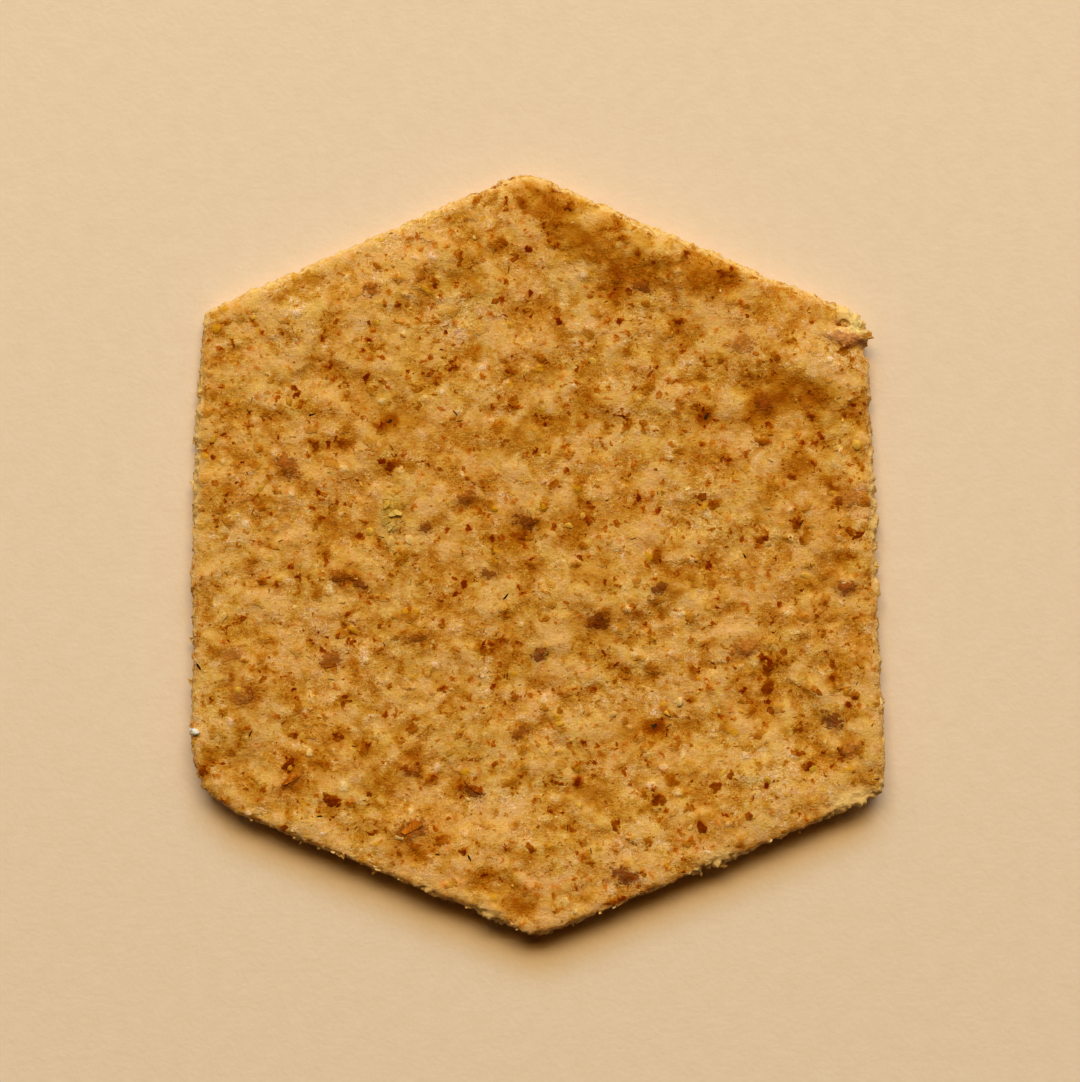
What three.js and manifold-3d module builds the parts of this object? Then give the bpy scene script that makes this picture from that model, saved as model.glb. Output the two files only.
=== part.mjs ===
// A sourdough cracker: one thin sheet of wholemeal dough, cut to a long six-sided outline and baked dry.
// Millimetres, +Z up. The origin lies on the resting plane, under the middle of the outline's box.
// +Y points at the top corner, and the two upright sides face -X and +X.
import * as THREE from "three";
import { ImprovedNoise } from "three/addons/math/ImprovedNoise.js";
import { mergeVertices } from "three/addons/utils/BufferGeometryUtils.js";
import Module from "manifold-3d";

// Driving dimensions of the cutter and the sheet
const ACROSS_FLATS = 61.2;
const POINT_TO_POINT = 69.5;
const UPRIGHT_SIDE = 43.5;
const THICKNESS = 2.4;

// What rolling, cutting and baking did to this one. Corner n starts side n, going anticlockwise from the top.
// drift moves a corner, blunt is what its tip lost and how far along the sides, lift is how far the rim
// stands off the table there, and bow is how far the side bulges out between its corners.
const CORNERS = [
  { name: "top", drift: [-0.9, 0.0], blunt: { loss: 0.25, reach: 1.0 }, lift: 0.2, bow: 0.1 },
  { name: "upper_left", drift: [0.4, 0.2], blunt: { loss: 0.1, reach: 0.8 }, lift: 0.1, bow: 0.7 },
  { name: "lower_left", drift: [-0.3, -0.2], blunt: { loss: 0.9, reach: 2.2 }, lift: 0.7, bow: 0.0 },
  { name: "bottom", drift: [0.2, 0.0], blunt: { loss: 0.2, reach: 0.9 }, lift: 0.9, bow: 0.2 },
  { name: "lower_right", drift: [1.1, 0.2], blunt: { loss: 0.35, reach: 1.1 }, lift: 0.7, bow: 0.12 },
  { name: "upper_right", drift: [-0.5, -0.35], blunt: { loss: 0.4, reach: 1.2 }, lift: 0.3, bow: -0.08 },
];
const LIFT_FROM = 0.6; // share of the way out from the middle where the rim starts to lift

// The cut edge, from the top surface down: how far in from the widest line, and the share of the height.
// Sides that face +Y baked round, and sides that face -Y stayed crisp.
const EDGE_SECTION = [
  { round: { inset: 0.7, height: 0.94 }, crisp: { inset: 0.25, height: 0.97 } },
  { round: { inset: 0.18, height: 0.72 }, crisp: { inset: 0.06, height: 0.84 } },
  { round: { inset: 0.0, height: 0.38 }, crisp: { inset: 0.0, height: 0.5 } },
  { round: { inset: 0.38, height: 0.0 }, crisp: { inset: 0.5, height: 0.0 } },
];
const CRISP_FACING = { from: 0.2, full: 0.6 }; // share of facing -Y at which crispness starts and is full
const EDGE_RAGGED = 0.3; // most that crumbs stand in or out
const EDGE_CRUMB = 1.9; // their spacing
const EDGE_ROLL = { round: 0.3, crisp: 0.06 }; // how far the top has dropped at the last ring inside the edge
const ROLL_REACH = 0.07; // share of the way in over which it drops

// The rolled top: two sizes of wave everywhere, and the swells and hollows that stand out
const WAVES = [
  { length: 5.2, height: 0.2 },
  { length: 2.4, height: 0.13 },
];
const SWELLS = [
  { at: [9.6, 28.0], reach: [9.6, 2.1], turn: -23, height: 0.5 }, // lip along the upper right side
  { at: [24.2, 16.8], reach: [4.4, 2.1], turn: -6, height: 0.55 }, // blister by the right side
  { at: [-2.8, -26.4], reach: [5.2, 2.6], turn: 8, height: 0.35 },
  { at: [-13.8, -18.6], reach: [6.2, 2.0], turn: -38, height: 0.3 },
  { at: [20.6, -20.4], reach: [4.6, 3.2], turn: 20, height: 0.3 },
  { at: [-25.0, -11.6], reach: [4.2, 1.9], turn: -36, height: 0.3 },
  { at: [6.0, -3.9], reach: [3.6, 1.8], turn: -18, height: 0.26 },
  { at: [-14.4, 26.6], reach: [6.5, 2.2], turn: 23, height: -0.22 }, // slope towards the upper left side
  { at: [14.8, 21.8], reach: [6.5, 2.6], turn: -12, height: -0.25 }, // hollow under the lip
  { at: [25.6, 11.4], reach: [4.4, 2.2], turn: -10, height: -0.3 }, // hollow under the blister
  { at: [-26.2, -19.0], reach: [1.9, 1.5], turn: -30, height: -0.45 }, // pock by the lower left corner
  { at: [-8.8, -22.0], reach: [5.0, 1.8], turn: -30, height: -0.28 },
];

// The largest bran flakes and grains that show, pressed into the top.
// Each has its place, its length and width, and its turn in degrees.
const FLAKES = [
  { at: [-14.9, 24.0], size: [1.4, 1.1], turn: 10 },
  { at: [9.6, 24.2], size: [2.1, 0.9], turn: -14 },
  { at: [18.6, 19.0], size: [2.1, 1.5], turn: 12 },
  { at: [20.5, 13.7], size: [1.5, 1.3], turn: -60 },
  { at: [28.6, 5.2], size: [2.0, 1.6], turn: 35 },
  { at: [-22.6, 8.1], size: [2.5, 1.6], turn: -50 },
  { at: [-13.2, 3.5], size: [2.3, 1.7], turn: 75 },
  { at: [-10.1, 2.5], size: [1.2, 1.1], turn: 0 },
  { at: [-18.0, -2.0], size: [1.5, 1.2], turn: -45 },
  { at: [-16.1, -2.5], size: [1.6, 0.9], turn: -35 },
  { at: [-6.4, 5.1], size: [1.7, 1.4], turn: 20 },
  { at: [-1.0, 3.0], size: [2.0, 1.3], turn: -30 },
  { at: [0.2, -9.0], size: [1.3, 1.2], turn: 30 },
  { at: [5.5, -6.0], size: [2.1, 1.5], turn: -15 },
  { at: [11.0, -3.0], size: [1.6, 1.1], turn: 25 },
  { at: [-18.7, -9.5], size: [2.0, 1.4], turn: 5 },
  { at: [-27.6, -9.0], size: [1.8, 1.5], turn: 10 },
  { at: [-26.7, -13.0], size: [1.7, 1.4], turn: 40 },
  { at: [-11.5, -24.9], size: [3.2, 1.7], turn: 22 },
  { at: [-1.6, -16.2], size: [1.6, 1.1], turn: 30 },
  { at: [-5.8, -21.4], size: [1.9, 1.0], turn: -30 },
  { at: [-11.4, -19.6], size: [1.5, 1.1], turn: 0 },
  { at: [-22.2, -20.6], size: [2.2, 0.8], turn: 32 },
  { at: [19.0, -8.4], size: [2.4, 1.4], turn: 20 },
  { at: [28.3, -17.6], size: [1.7, 1.1], turn: 62 },
  { at: [26.7, -15.0], size: [1.9, 1.4], turn: -20 },
  { at: [27.9, -3.0], size: [1.7, 1.2], turn: 0 },
  { at: [8.0, -29.0], size: [2.4, 1.3], turn: -12 },
  { at: [-4.3, -1.7], size: [1.7, 0.9], turn: -8 },
  { at: [-10.7, -7.5], size: [2.1, 0.8], turn: 10 },
  { at: [29.0, 20.6], size: [1.5, 1.1], turn: -35 }, // crumb at the broken corner
];
const FLAKE_SIDES = 7;
const FLAKE_PROUD = 0.16; // above the dough
const FLAKE_SUNK = 0.34; // below it
const FLAKE_BEVEL = 0.8; // the top face's size beside the bottom one's

// The broken upper right corner: a pit torn through the skin, a notch in the edge below it, and between them
// the strip of crust that curled up and reaches past the edge
const PIT = { at: [27.8, 20.6], size: [1.5, 0.8], turn: -30, depth: 1.5 };
const NOTCH = { at: [30.5, 18.3], size: [2.2, 1.0] };
const CURL = {
  from: [26.0, 20.2],
  middle: [28.4, 18.9],
  to: [30.5, 19.9],
  rise: 0.3,
  width: 1.1,
  height: 0.7,
};
const CURL_STEPS = 8;
const CURL_SIDES = 7;

// How finely the sheet is faceted: rings from the middle to the edge on top, and fewer points underneath
const TOP_RINGS = 30;
const UNDER_STEPS = { flat: 10, rim: TOP_RINGS / 2 }; // points on each side where it is flat, and by the edge
const UNDER_REACH = 0.94; // share of the way out that the underside's own rings cover

const SIDES = CORNERS.length;
const UP = new THREE.Vector3(0, 0, 1);
const noise = new ImprovedNoise();
const wasm = await Module();
wasm.setup();

// The outline

function cornerPlaces() {
  const x = ACROSS_FLATS / 2;
  const y = UPRIGHT_SIDE / 2;
  const tip = POINT_TO_POINT / 2;
  const cut = [
    [0, tip],
    [-x, y],
    [-x, -y],
    [0, -tip],
    [x, -y],
    [x, y],
  ];
  return cut.map(([cx, cy], n) => new THREE.Vector2(cx + CORNERS[n].drift[0], cy + CORNERS[n].drift[1]));
}
const PLACES = cornerPlaces();

// A point on the outline, at a share of the way along a side, with the bow and the lost tips but no crumbs.
function outlinePoint(side, share) {
  const next = (side + 1) % SIDES;
  const along = PLACES[next].clone().sub(PLACES[side]);
  const length = along.length();
  const out = new THREE.Vector2(along.y, -along.x).normalize();
  const point = PLACES[side].clone().addScaledVector(along, share);
  point.addScaledVector(out, CORNERS[side].bow * 4 * share * (1 - share));
  const tips = [
    { corner: side, gap: share * length },
    { corner: next, gap: (1 - share) * length },
  ];
  for (const { corner, gap } of tips) {
    const { loss, reach } = CORNERS[corner].blunt;
    point.addScaledVector(PLACES[corner].clone().normalize(), -loss * Math.exp(-((gap / reach) ** 2)));
  }
  return point;
}

function rimLift(side, share) {
  return THREE.MathUtils.lerp(CORNERS[side].lift, CORNERS[(side + 1) % SIDES].lift, share);
}

function liftAt(reach, side, share) {
  return rimLift(side, share) * THREE.MathUtils.smoothstep(reach, LIFT_FROM, 1);
}

// The rolled surface

// An oval hill or hollow: 1 at its middle, falling away to nothing.
function swellAt(x, y, swell) {
  const offset = new THREE.Vector2(x - swell.at[0], y - swell.at[1]);
  offset.rotateAround(new THREE.Vector2(), -THREE.MathUtils.degToRad(swell.turn));
  return swell.height * Math.exp(-((offset.x / swell.reach[0]) ** 2) - (offset.y / swell.reach[1]) ** 2);
}

function topRelief(x, y) {
  let height = 0;
  WAVES.forEach(({ length, height: crest }, n) => {
    height += crest * noise.noise(x / length, y / length, n + 0.5);
  });
  for (const swell of SWELLS) height += swellAt(x, y, swell);
  return height;
}

// 0 where the edge baked round and 1 where it stayed crisp, by the side of the middle that a place lies on.
function crispness(x, y) {
  const facing = new THREE.Vector2(x, y).normalize().y;
  return THREE.MathUtils.smoothstep(-facing, CRISP_FACING.from, CRISP_FACING.full);
}

function topHeight(x, y, reach) {
  const drop = THREE.MathUtils.lerp(EDGE_ROLL.round, EDGE_ROLL.crisp, crispness(x, y));
  const roll = drop * THREE.MathUtils.smoothstep(reach, 1 - 2 * ROLL_REACH, 1 - ROLL_REACH / 2);
  return THICKNESS + topRelief(x, y) - roll;
}

// The sheet: rings of points from the middle out, closed over the edge and underneath

// Fills positions and triangles for a six-sided sheet whose ring k has k points on each side.
class RingSheet {
  constructor() {
    this.positions = [];
    this.triangles = [];
  }

  point(x, y, z) {
    return this.positions.push(x, y, z) / 3 - 1;
  }

  // A ring with the given number of points on each side, placed by a function of side and share.
  ring(steps, place) {
    const ids = [];
    for (let side = 0; side < SIDES; side++) {
      for (let step = 0; step < steps; step++) ids.push(this.point(...place(side, step / steps)));
    }
    return ids;
  }

  triangle(a, b, c, flip) {
    this.triangles.push(...(flip ? [a, c, b] : [a, b, c]));
  }

  // Joins a ring to the next one out, which has one more point on each side.
  growRing(inner, outer, flip) {
    const steps = outer.length / SIDES;
    for (let side = 0; side < SIDES; side++) {
      for (let step = 0; step < steps; step++) {
        const a = outer[side * steps + step];
        const b = outer[(side * steps + step + 1) % outer.length];
        const c = inner[(side * (steps - 1) + step) % inner.length];
        this.triangle(a, b, c, flip);
        if (step === 0) continue;
        this.triangle(a, c, inner[side * (steps - 1) + step - 1], flip);
      }
    }
  }

  // Joins two rings with the same number of points, the upper one first.
  band(upper, lower) {
    upper.forEach((a, n) => {
      const next = (n + 1) % upper.length;
      this.triangle(a, lower[n], lower[next], false);
      this.triangle(a, lower[next], upper[next], false);
    });
  }

  // Joins a ring to one further in that has half as many points, on the underside.
  halveRing(fine, coarse) {
    coarse.forEach((a, n) => {
      const b = coarse[(n + 1) % coarse.length];
      const middle = fine[2 * n + 1];
      this.triangle(fine[2 * n], a, middle, false);
      this.triangle(middle, a, b, false);
      this.triangle(middle, b, fine[(2 * n + 2) % fine.length], false);
    });
  }

  geometry() {
    const made = new THREE.BufferGeometry();
    made.setAttribute("position", new THREE.Float32BufferAttribute(this.positions, 3));
    made.setIndex(this.triangles);
    return made;
  }
}

// A level of the cut edge: the outline moved in, roughened by crumbs, at its share of the height there.
function edgePlace({ round, crisp }) {
  return (side, share) => {
    const outline = outlinePoint(side, share);
    const out = outline.clone().normalize();
    const kept = crispness(outline.x, outline.y);
    const inset = THREE.MathUtils.lerp(round.inset, crisp.inset, kept);
    const height = THREE.MathUtils.lerp(round.height, crisp.height, kept);
    const crumb = noise.noise(outline.x / EDGE_CRUMB, outline.y / EDGE_CRUMB, 9 + 2 * round.height);
    const point = outline.addScaledVector(out, EDGE_RAGGED * crumb - inset);
    return [point.x, point.y, liftAt(1, side, share) + height * topHeight(point.x, point.y, 1)];
  };
}

function topPlace(reach) {
  return (side, share) => {
    const point = outlinePoint(side, share).multiplyScalar(reach);
    return [point.x, point.y, liftAt(reach, side, share) + topHeight(point.x, point.y, reach)];
  };
}

function underPlace(reach) {
  return (side, share) => {
    const point = outlinePoint(side, share).multiplyScalar(reach);
    return [point.x, point.y, liftAt(reach, side, share)];
  };
}

function doughSheet() {
  const sheet = new RingSheet();

  let ring = Array(SIDES).fill(sheet.point(0, 0, topHeight(0, 0, 0)));
  for (let n = 1; n < TOP_RINGS; n++) {
    const next = sheet.ring(n, topPlace(n / TOP_RINGS));
    n === 1 ? fan(sheet, ring[0], next, false) : sheet.growRing(ring, next, false);
    ring = next;
  }
  const edge = EDGE_SECTION.map((level) => sheet.ring(TOP_RINGS, edgePlace(level)));
  sheet.growRing(ring, edge[0], false);
  for (let n = 1; n < edge.length; n++) sheet.band(edge[n - 1], edge[n]);

  let under = sheet.ring(UNDER_STEPS.flat, underPlace(LIFT_FROM));
  fan(sheet, sheet.point(0, 0, 0), under, true);
  for (let n = UNDER_STEPS.flat + 1; n <= UNDER_STEPS.rim; n++) {
    const share = (n - UNDER_STEPS.flat) / (UNDER_STEPS.rim - UNDER_STEPS.flat);
    const next = sheet.ring(n, underPlace(THREE.MathUtils.lerp(LIFT_FROM, UNDER_REACH, share)));
    sheet.growRing(under, next, true);
    under = next;
  }
  sheet.halveRing(edge[edge.length - 1], under);
  return sheet.geometry();
}

// The triangles from the middle point to a ring.
function fan(sheet, middle, ring, flip) {
  ring.forEach((a, n) => sheet.triangle(a, ring[(n + 1) % ring.length], middle, flip));
}

// Solids and booleans

function solidOf(geometry) {
  const bare = geometry.clone();
  bare.deleteAttribute("normal");
  bare.deleteAttribute("uv");
  const merged = mergeVertices(bare, 1e-4);
  return new wasm.Manifold(
    new wasm.Mesh({
      numProp: 3,
      vertProperties: new Float32Array(merged.attributes.position.array),
      triVerts: new Uint32Array(merged.index.array),
    }),
  );
}

function geometryOf(solid) {
  const mesh = solid.getMesh();
  const made = new THREE.BufferGeometry();
  made.setAttribute("position", new THREE.BufferAttribute(mesh.vertProperties, 3));
  made.setIndex(new THREE.BufferAttribute(mesh.triVerts, 1));
  made.computeVertexNormals();
  return made;
}

// Where a line straight down meets the top of the sheet, with the surface's normal there.
function topAt(sheetMesh, [x, y]) {
  const ray = new THREE.Raycaster(new THREE.Vector3(x, y, 10 * THICKNESS), UP.clone().negate());
  const hit = ray.intersectObject(sheetMesh)[0];
  return { point: hit.point, normal: hit.face.normal };
}

// A shape made round the origin, set on the sheet: turned about its own axis, then laid on the surface.
function layOnTop(geometry, sheetMesh, { at, turn }) {
  const { point, normal } = topAt(sheetMesh, at);
  const lie = new THREE.Quaternion().setFromUnitVectors(UP, normal);
  const spin = new THREE.Quaternion().setFromAxisAngle(UP, THREE.MathUtils.degToRad(turn));
  const place = new THREE.Matrix4().compose(point, lie.multiply(spin), new THREE.Vector3(1, 1, 1));
  return geometry.applyMatrix4(place);
}

// A bran flake or grain: a low many-sided chip, mostly sunk in the dough.
function flake(sheetMesh, place) {
  const depth = FLAKE_PROUD + FLAKE_SUNK;
  const chip = new THREE.CylinderGeometry(FLAKE_BEVEL / 2, 0.5, depth, FLAKE_SIDES);
  chip.rotateX(Math.PI / 2);
  chip.scale(place.size[0], place.size[1], 1);
  chip.translate(0, 0, FLAKE_PROUD - depth / 2);
  return solidOf(layOnTop(chip, sheetMesh, place));
}

// The hollow of the pit: an egg shape that reaches its depth below the surface.
function pitHollow(sheetMesh) {
  const hollow = new THREE.SphereGeometry(0.5, 8, 6);
  hollow.rotateX(Math.PI / 2);
  hollow.scale(PIT.size[0], PIT.size[1], 2 * PIT.depth);
  return solidOf(layOnTop(hollow, sheetMesh, PIT));
}

// What the notch takes away: an upright oval post that is taller than the sheet.
function notchPost() {
  const post = new THREE.CylinderGeometry(0.5, 0.5, 4 * THICKNESS, 9);
  post.rotateX(Math.PI / 2);
  post.scale(NOTCH.size[0], NOTCH.size[1], 1);
  return solidOf(post.translate(...NOTCH.at, THICKNESS));
}

// The curled strip of crust: an oval section along a low arch from the dough to past the edge.
function curledStrip() {
  const surface = ([x, y]) => new THREE.Vector3(x, y, rimLift(SIDES - 1, 0) + topHeight(x, y, 1));
  const crown = surface(CURL.middle).add(new THREE.Vector3(0, 0, 2 * CURL.rise));
  const arch = new THREE.QuadraticBezierCurve3(surface(CURL.from), crown, surface(CURL.to));
  const section = new THREE.Shape().absellipse(0, 0, CURL.height / 2, CURL.width / 2, 0, 2 * Math.PI);
  const outline = new THREE.Shape(section.getSpacedPoints(CURL_SIDES).slice(0, CURL_SIDES));
  const along = { steps: CURL_STEPS, extrudePath: arch, bevelEnabled: false };
  return solidOf(new THREE.ExtrudeGeometry(outline, along));
}

// The finished cracker

function crackerGeometry() {
  const sheet = doughSheet();
  const sheetMesh = new THREE.Mesh(sheet);
  let solid = solidOf(sheet).subtract(pitHollow(sheetMesh)).subtract(notchPost()).add(curledStrip());
  for (const place of FLAKES) solid = solid.add(flake(sheetMesh, place));
  const made = geometryOf(solid);
  made.computeBoundingBox();
  const middle = made.boundingBox.getCenter(new THREE.Vector3());
  return made.translate(-middle.x, -middle.y, -made.boundingBox.min.z);
}

const bakedDough = new THREE.MeshStandardMaterial({ color: 0xc08434, roughness: 0.75, metalness: 0 });

const cracker = new THREE.Mesh(crackerGeometry(), bakedDough);
cracker.name = "cracker";

const part = new THREE.Group();
part.add(cracker);

export default part;
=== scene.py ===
# %% [markdown]
# A sourdough cracker is one thin sheet of wholemeal dough, cut to six sides and baked until it is dry. Seen
# close it has three kinds of detail. The sheet has slow swells, a lip and a broken corner. Its skin is
# lumpy and full of bran. A few flakes, grits and husks stand proud of it. The lesson takes them in that
# order. The solids from the part's source give the sheet, Geometry Nodes give the skin its relief and
# scatter what stands proud, and shader nodes colour it from the same recipe as the relief.

# %% Load the frame
import math

import bmesh
import bpy
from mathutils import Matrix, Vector


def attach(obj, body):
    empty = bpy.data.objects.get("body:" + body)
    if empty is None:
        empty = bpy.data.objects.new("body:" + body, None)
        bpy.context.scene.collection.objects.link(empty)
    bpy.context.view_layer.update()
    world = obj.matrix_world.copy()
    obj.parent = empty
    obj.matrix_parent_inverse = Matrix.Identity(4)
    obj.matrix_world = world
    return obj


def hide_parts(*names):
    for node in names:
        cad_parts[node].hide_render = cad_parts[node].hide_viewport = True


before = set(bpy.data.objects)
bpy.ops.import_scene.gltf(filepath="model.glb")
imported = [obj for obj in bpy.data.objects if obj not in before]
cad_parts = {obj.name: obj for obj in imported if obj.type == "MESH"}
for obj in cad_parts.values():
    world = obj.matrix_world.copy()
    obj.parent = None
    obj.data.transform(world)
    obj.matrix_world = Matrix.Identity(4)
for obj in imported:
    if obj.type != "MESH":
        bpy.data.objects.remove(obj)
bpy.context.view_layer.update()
MM = 0.001

# %% [markdown]
# Node trees are easier to read as sentences than as lists of links. This small helper adds one node for
# each call and hands back the socket with the result, so that a recipe reads like arithmetic. The nodes it
# uses are found in both Geometry Nodes and shaders, so the same recipe can move the skin and colour it.

# %% A helper that wires nodes


class Wiring:
    """Adds nodes to one tree. Each method makes a node and returns the socket that carries its result."""

    def __init__(self, tree):
        self.tree = tree

    def node(self, kind, inputs=None, **settings):
        """A new node with its settings made and its inputs fed."""
        made = self.tree.nodes.new(kind)
        for name, value in settings.items():
            setattr(made, name, value)
        for key, value in (inputs or {}).items():
            self.feed(made.inputs[key], value)
        return made

    def feed(self, socket, value):
        """Links a socket to another one, or sets it to a plain value."""
        if isinstance(value, bpy.types.NodeSocket):
            self.tree.links.new(value, socket)
        else:
            socket.default_value = value

    def math(self, operation, first, second=0.0, third=0.0):
        node = self.node("ShaderNodeMath", {0: first, 1: second, 2: third}, operation=operation)
        return node.outputs[0]

    def vector(self, operation, first, second=(0.0, 0.0, 0.0)):
        node = self.node("ShaderNodeVectorMath", {0: first, 1: second}, operation=operation)
        return node.outputs["Value" if operation == "LENGTH" else "Vector"]

    def scaled(self, vector, factor):
        node = self.node("ShaderNodeVectorMath", {0: vector, "Scale": factor}, operation="SCALE")
        return node.outputs["Vector"]

    def parts(self, vector):
        return self.node("ShaderNodeSeparateXYZ", {0: vector}).outputs

    def joined(self, x, y, z):
        return self.node("ShaderNodeCombineXYZ", {0: x, 1: y, 2: z}).outputs[0]

    def turned(self, vector, angle):
        node = self.node("ShaderNodeVectorRotate", {"Vector": vector, "Angle": angle}, rotation_type="Z_AXIS")
        return node.outputs[0]

    def fade(self, value, start, end, low=0.0, high=1.0):
        """low before start, high after end, and smooth between them."""
        inputs = {0: value, 1: start, 2: end, 3: low, 4: high}
        return self.node("ShaderNodeMapRange", inputs, interpolation_type="SMOOTHSTEP").outputs[0]

    def noise(self, place, size, detail=2.0, roughness=0.5):
        """A soft random value from 0 to 1 with lumps about one size apart."""
        inputs = {"Vector": place, "Scale": 1.0 / size, "Detail": detail, "Roughness": roughness}
        return self.node("ShaderNodeTexNoise", inputs).outputs[0]

    def centred(self, place, size, detail=2.0, roughness=0.5):
        """A soft random value that lies about 0."""
        return self.math("SUBTRACT", self.noise(place, size, detail, roughness), 0.5)

    def shaken(self, place, size, reach, detail=1.0):
        """The place moved by a soft random step, which makes straight outlines ragged."""
        inputs = {"Vector": place, "Scale": 1.0 / size, "Detail": detail}
        draw = self.node("ShaderNodeTexNoise", inputs).outputs[1]
        step = self.scaled(self.vector("SUBTRACT", draw, (0.5, 0.5, 0.5)), 2.0 * reach)
        return self.vector("ADD", place, step)

    def mixed(self, share, first, second, blend="MIX"):
        node = self.node("ShaderNodeMix", data_type="RGBA", blend_type=blend)
        colours = [socket for socket in node.inputs if socket.type == "RGBA"]
        self.feed(node.inputs[0], share)
        self.feed(colours[0], first)
        self.feed(colours[1], second)
        return next(socket for socket in node.outputs if socket.type == "RGBA")

    def ramp(self, value, stops):
        """A colour from a list of (position, colour) stops."""
        node = self.node("ShaderNodeValToRGB", {0: value})
        while len(node.color_ramp.elements) < len(stops):
            node.color_ramp.elements.new(0.5)
        for element, (position, colour) in zip(node.color_ramp.elements, stops):
            element.position = position
            element.color = colour
        return node.outputs[0]


def srgb(red, green, blue):
    """A colour read off a screen, 0 to 255, as the linear RGBA that nodes use."""
    shares = [value / 255 for value in (red, green, blue)]
    linear = [s / 12.92 if s <= 0.04045 else ((s + 0.055) / 1.055) ** 2.4 for s in shares]
    return (*linear, 1.0)


print("Wiring has", len([name for name in vars(Wiring) if not name.startswith("_")]), "kinds of step")

# %% [markdown]
# Wholemeal dough holds ground grain of every size: broad bran flakes, smaller bits, specks, yellow or pale
# scraps and black slivers of husk. Scattering each of them as an object would take millions of faces. A
# Voronoi texture does it instead: it splits space into cells and gives each a middle and a random colour.
# The distance from that middle, squeezed and turned by the random draws, makes a blunt shard. Because the
# texture is solid, the flecks also run through the cut edges and the underside.

# %% One recipe for scattered flecks
FLECKS = {
    # kind: cell size in mm, share of cells filled, length and width as shares of the cell
    "Bran": {"cell": 1.7, "share": 0.72, "length": 0.70, "width": 0.42},
    "Bits": {"cell": 0.85, "share": 0.52, "length": 0.70, "width": 0.42},
    "Specks": {"cell": 0.44, "share": 0.36, "length": 0.60, "width": 0.44},
    "Scraps": {"cell": 1.6, "share": 0.50, "length": 0.54, "width": 0.42},
    "Slivers": {"cell": 2.2, "share": 0.45, "length": 0.30, "width": 0.06},
}
STRAIGHT = ("Slivers",)
RAGGED_SIZE = 0.60
RAGGED_REACH = 0.35
FRAYED_SIZE = 0.18
FRAYED_REACH = 0.20
CORNERED = 0.5
SMALLEST = 0.55
LARGEST = 1.25
NO_FLECK = 9.0
FILL_DRAW = 37.0
BARE_DRAW = 23.0


def shard(w, away):
    """A distance whose rings lie between an oval and a box, so that flakes come out as blunt shards."""
    along, across, up = w.parts(w.vector("ABSOLUTE", away))
    box = w.math("MAXIMUM", w.math("MAXIMUM", along, across), up)
    oval = w.vector("LENGTH", away)
    return w.math("MULTIPLY_ADD", w.math("SUBTRACT", box, oval), CORNERED, oval)


def scattered(w, place, cell, share, length, width):
    """The distance to the nearest fleck in its own radii, and two random draws for it."""
    spot = w.scaled(place, 1.0 / cell)
    found = w.node("ShaderNodeTexVoronoi", {"Vector": spot, "Scale": 1.0})
    draws = w.parts(found.outputs["Color"])
    away = w.vector("SUBTRACT", spot, found.outputs["Position"])
    away = w.turned(away, w.math("MULTIPLY", draws[0], 2 * math.pi))
    away = w.vector("MULTIPLY", away, (2 / length, 2 / width, 4 / (length + width)))
    bigness = w.fade(draws[1], 0.0, 1.0, SMALLEST, LARGEST)
    reach = w.math("DIVIDE", shard(w, away), bigness)
    missing = w.math("GREATER_THAN", w.math("FRACT", w.math("MULTIPLY", draws[0], FILL_DRAW)), share)
    tint = draws[2]
    bared = w.math("FRACT", w.math("MULTIPLY", draws[1], BARE_DRAW))
    return w.math("MULTIPLY_ADD", missing, NO_FLECK, reach), tint, bared


def fleck_group(tree_type, kinds):
    """A node group that turns a place in mm into the reach and draws of some kinds of fleck."""
    tree = bpy.data.node_groups.new("grain_in_the_dough", tree_type)
    tree.interface.new_socket("Place", in_out="INPUT", socket_type="NodeSocketVector")
    w = Wiring(tree)
    start = w.node("NodeGroupInput")
    end = w.node("NodeGroupOutput")
    ragged = w.shaken(start.outputs["Place"], RAGGED_SIZE, RAGGED_REACH)
    ragged = w.shaken(ragged, FRAYED_SIZE, FRAYED_REACH)
    for kind in kinds:
        place = start.outputs["Place"] if kind in STRAIGHT else ragged
        results = dict(zip(("", " Tint", " Bared"), scattered(w, place, **FLECKS[kind])))
        for ending, socket in results.items():
            tree.interface.new_socket(kind + ending, in_out="OUTPUT", socket_type="NodeSocketFloat")
            w.feed(end.inputs[kind + ending], socket)
    return tree


GRAIN_IN_RELIEF = fleck_group("GeometryNodeTree", ("Bran", "Scraps", "Bits"))
GRAIN_IN_COLOUR = fleck_group("ShaderNodeTree", ("Bits", "Specks", "Slivers"))
print("flecks in the dough:", ", ".join(FLECKS))

# %% [markdown]
# The sheet itself comes from the packed solid, so that its outline, swells and broken corner stay where the
# source put them. Its facets are over a millimetre wide, which is too coarse for crumbs. A voxel remesh
# lays an even net of small quads over it. The underside is flat and needs few of them, so it is thinned,
# which leaves more for the top.

# %% The sheet of dough, finely meshed
NET = 0.215 * MM
UNDERSIDE_KEPT = 0.03
MERGED_WITHIN = 0.001 * MM
ON_TABLE = 0.2 * NET


def plain_mesh(piece):
    """Replaces a piece's mesh by what its modifiers make of it, and removes them."""
    depsgraph = bpy.context.evaluated_depsgraph_get()
    made = bpy.data.meshes.new_from_object(
        piece.evaluated_get(depsgraph), preserve_all_data_layers=True, depsgraph=depsgraph
    )
    piece.modifiers.clear()
    piece.data = made
    return piece


def merged_copy(node, name):
    """A copy of a CAD node whose loose triangles are joined into one skin."""
    edit = bmesh.new()
    edit.from_mesh(node.data)
    bmesh.ops.remove_doubles(edit, verts=edit.verts, dist=MERGED_WITHIN)
    mesh = bpy.data.meshes.new(name)
    edit.to_mesh(mesh)
    edit.free()
    piece = bpy.data.objects.new(name, mesh)
    bpy.context.scene.collection.objects.link(piece)
    return piece


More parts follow.
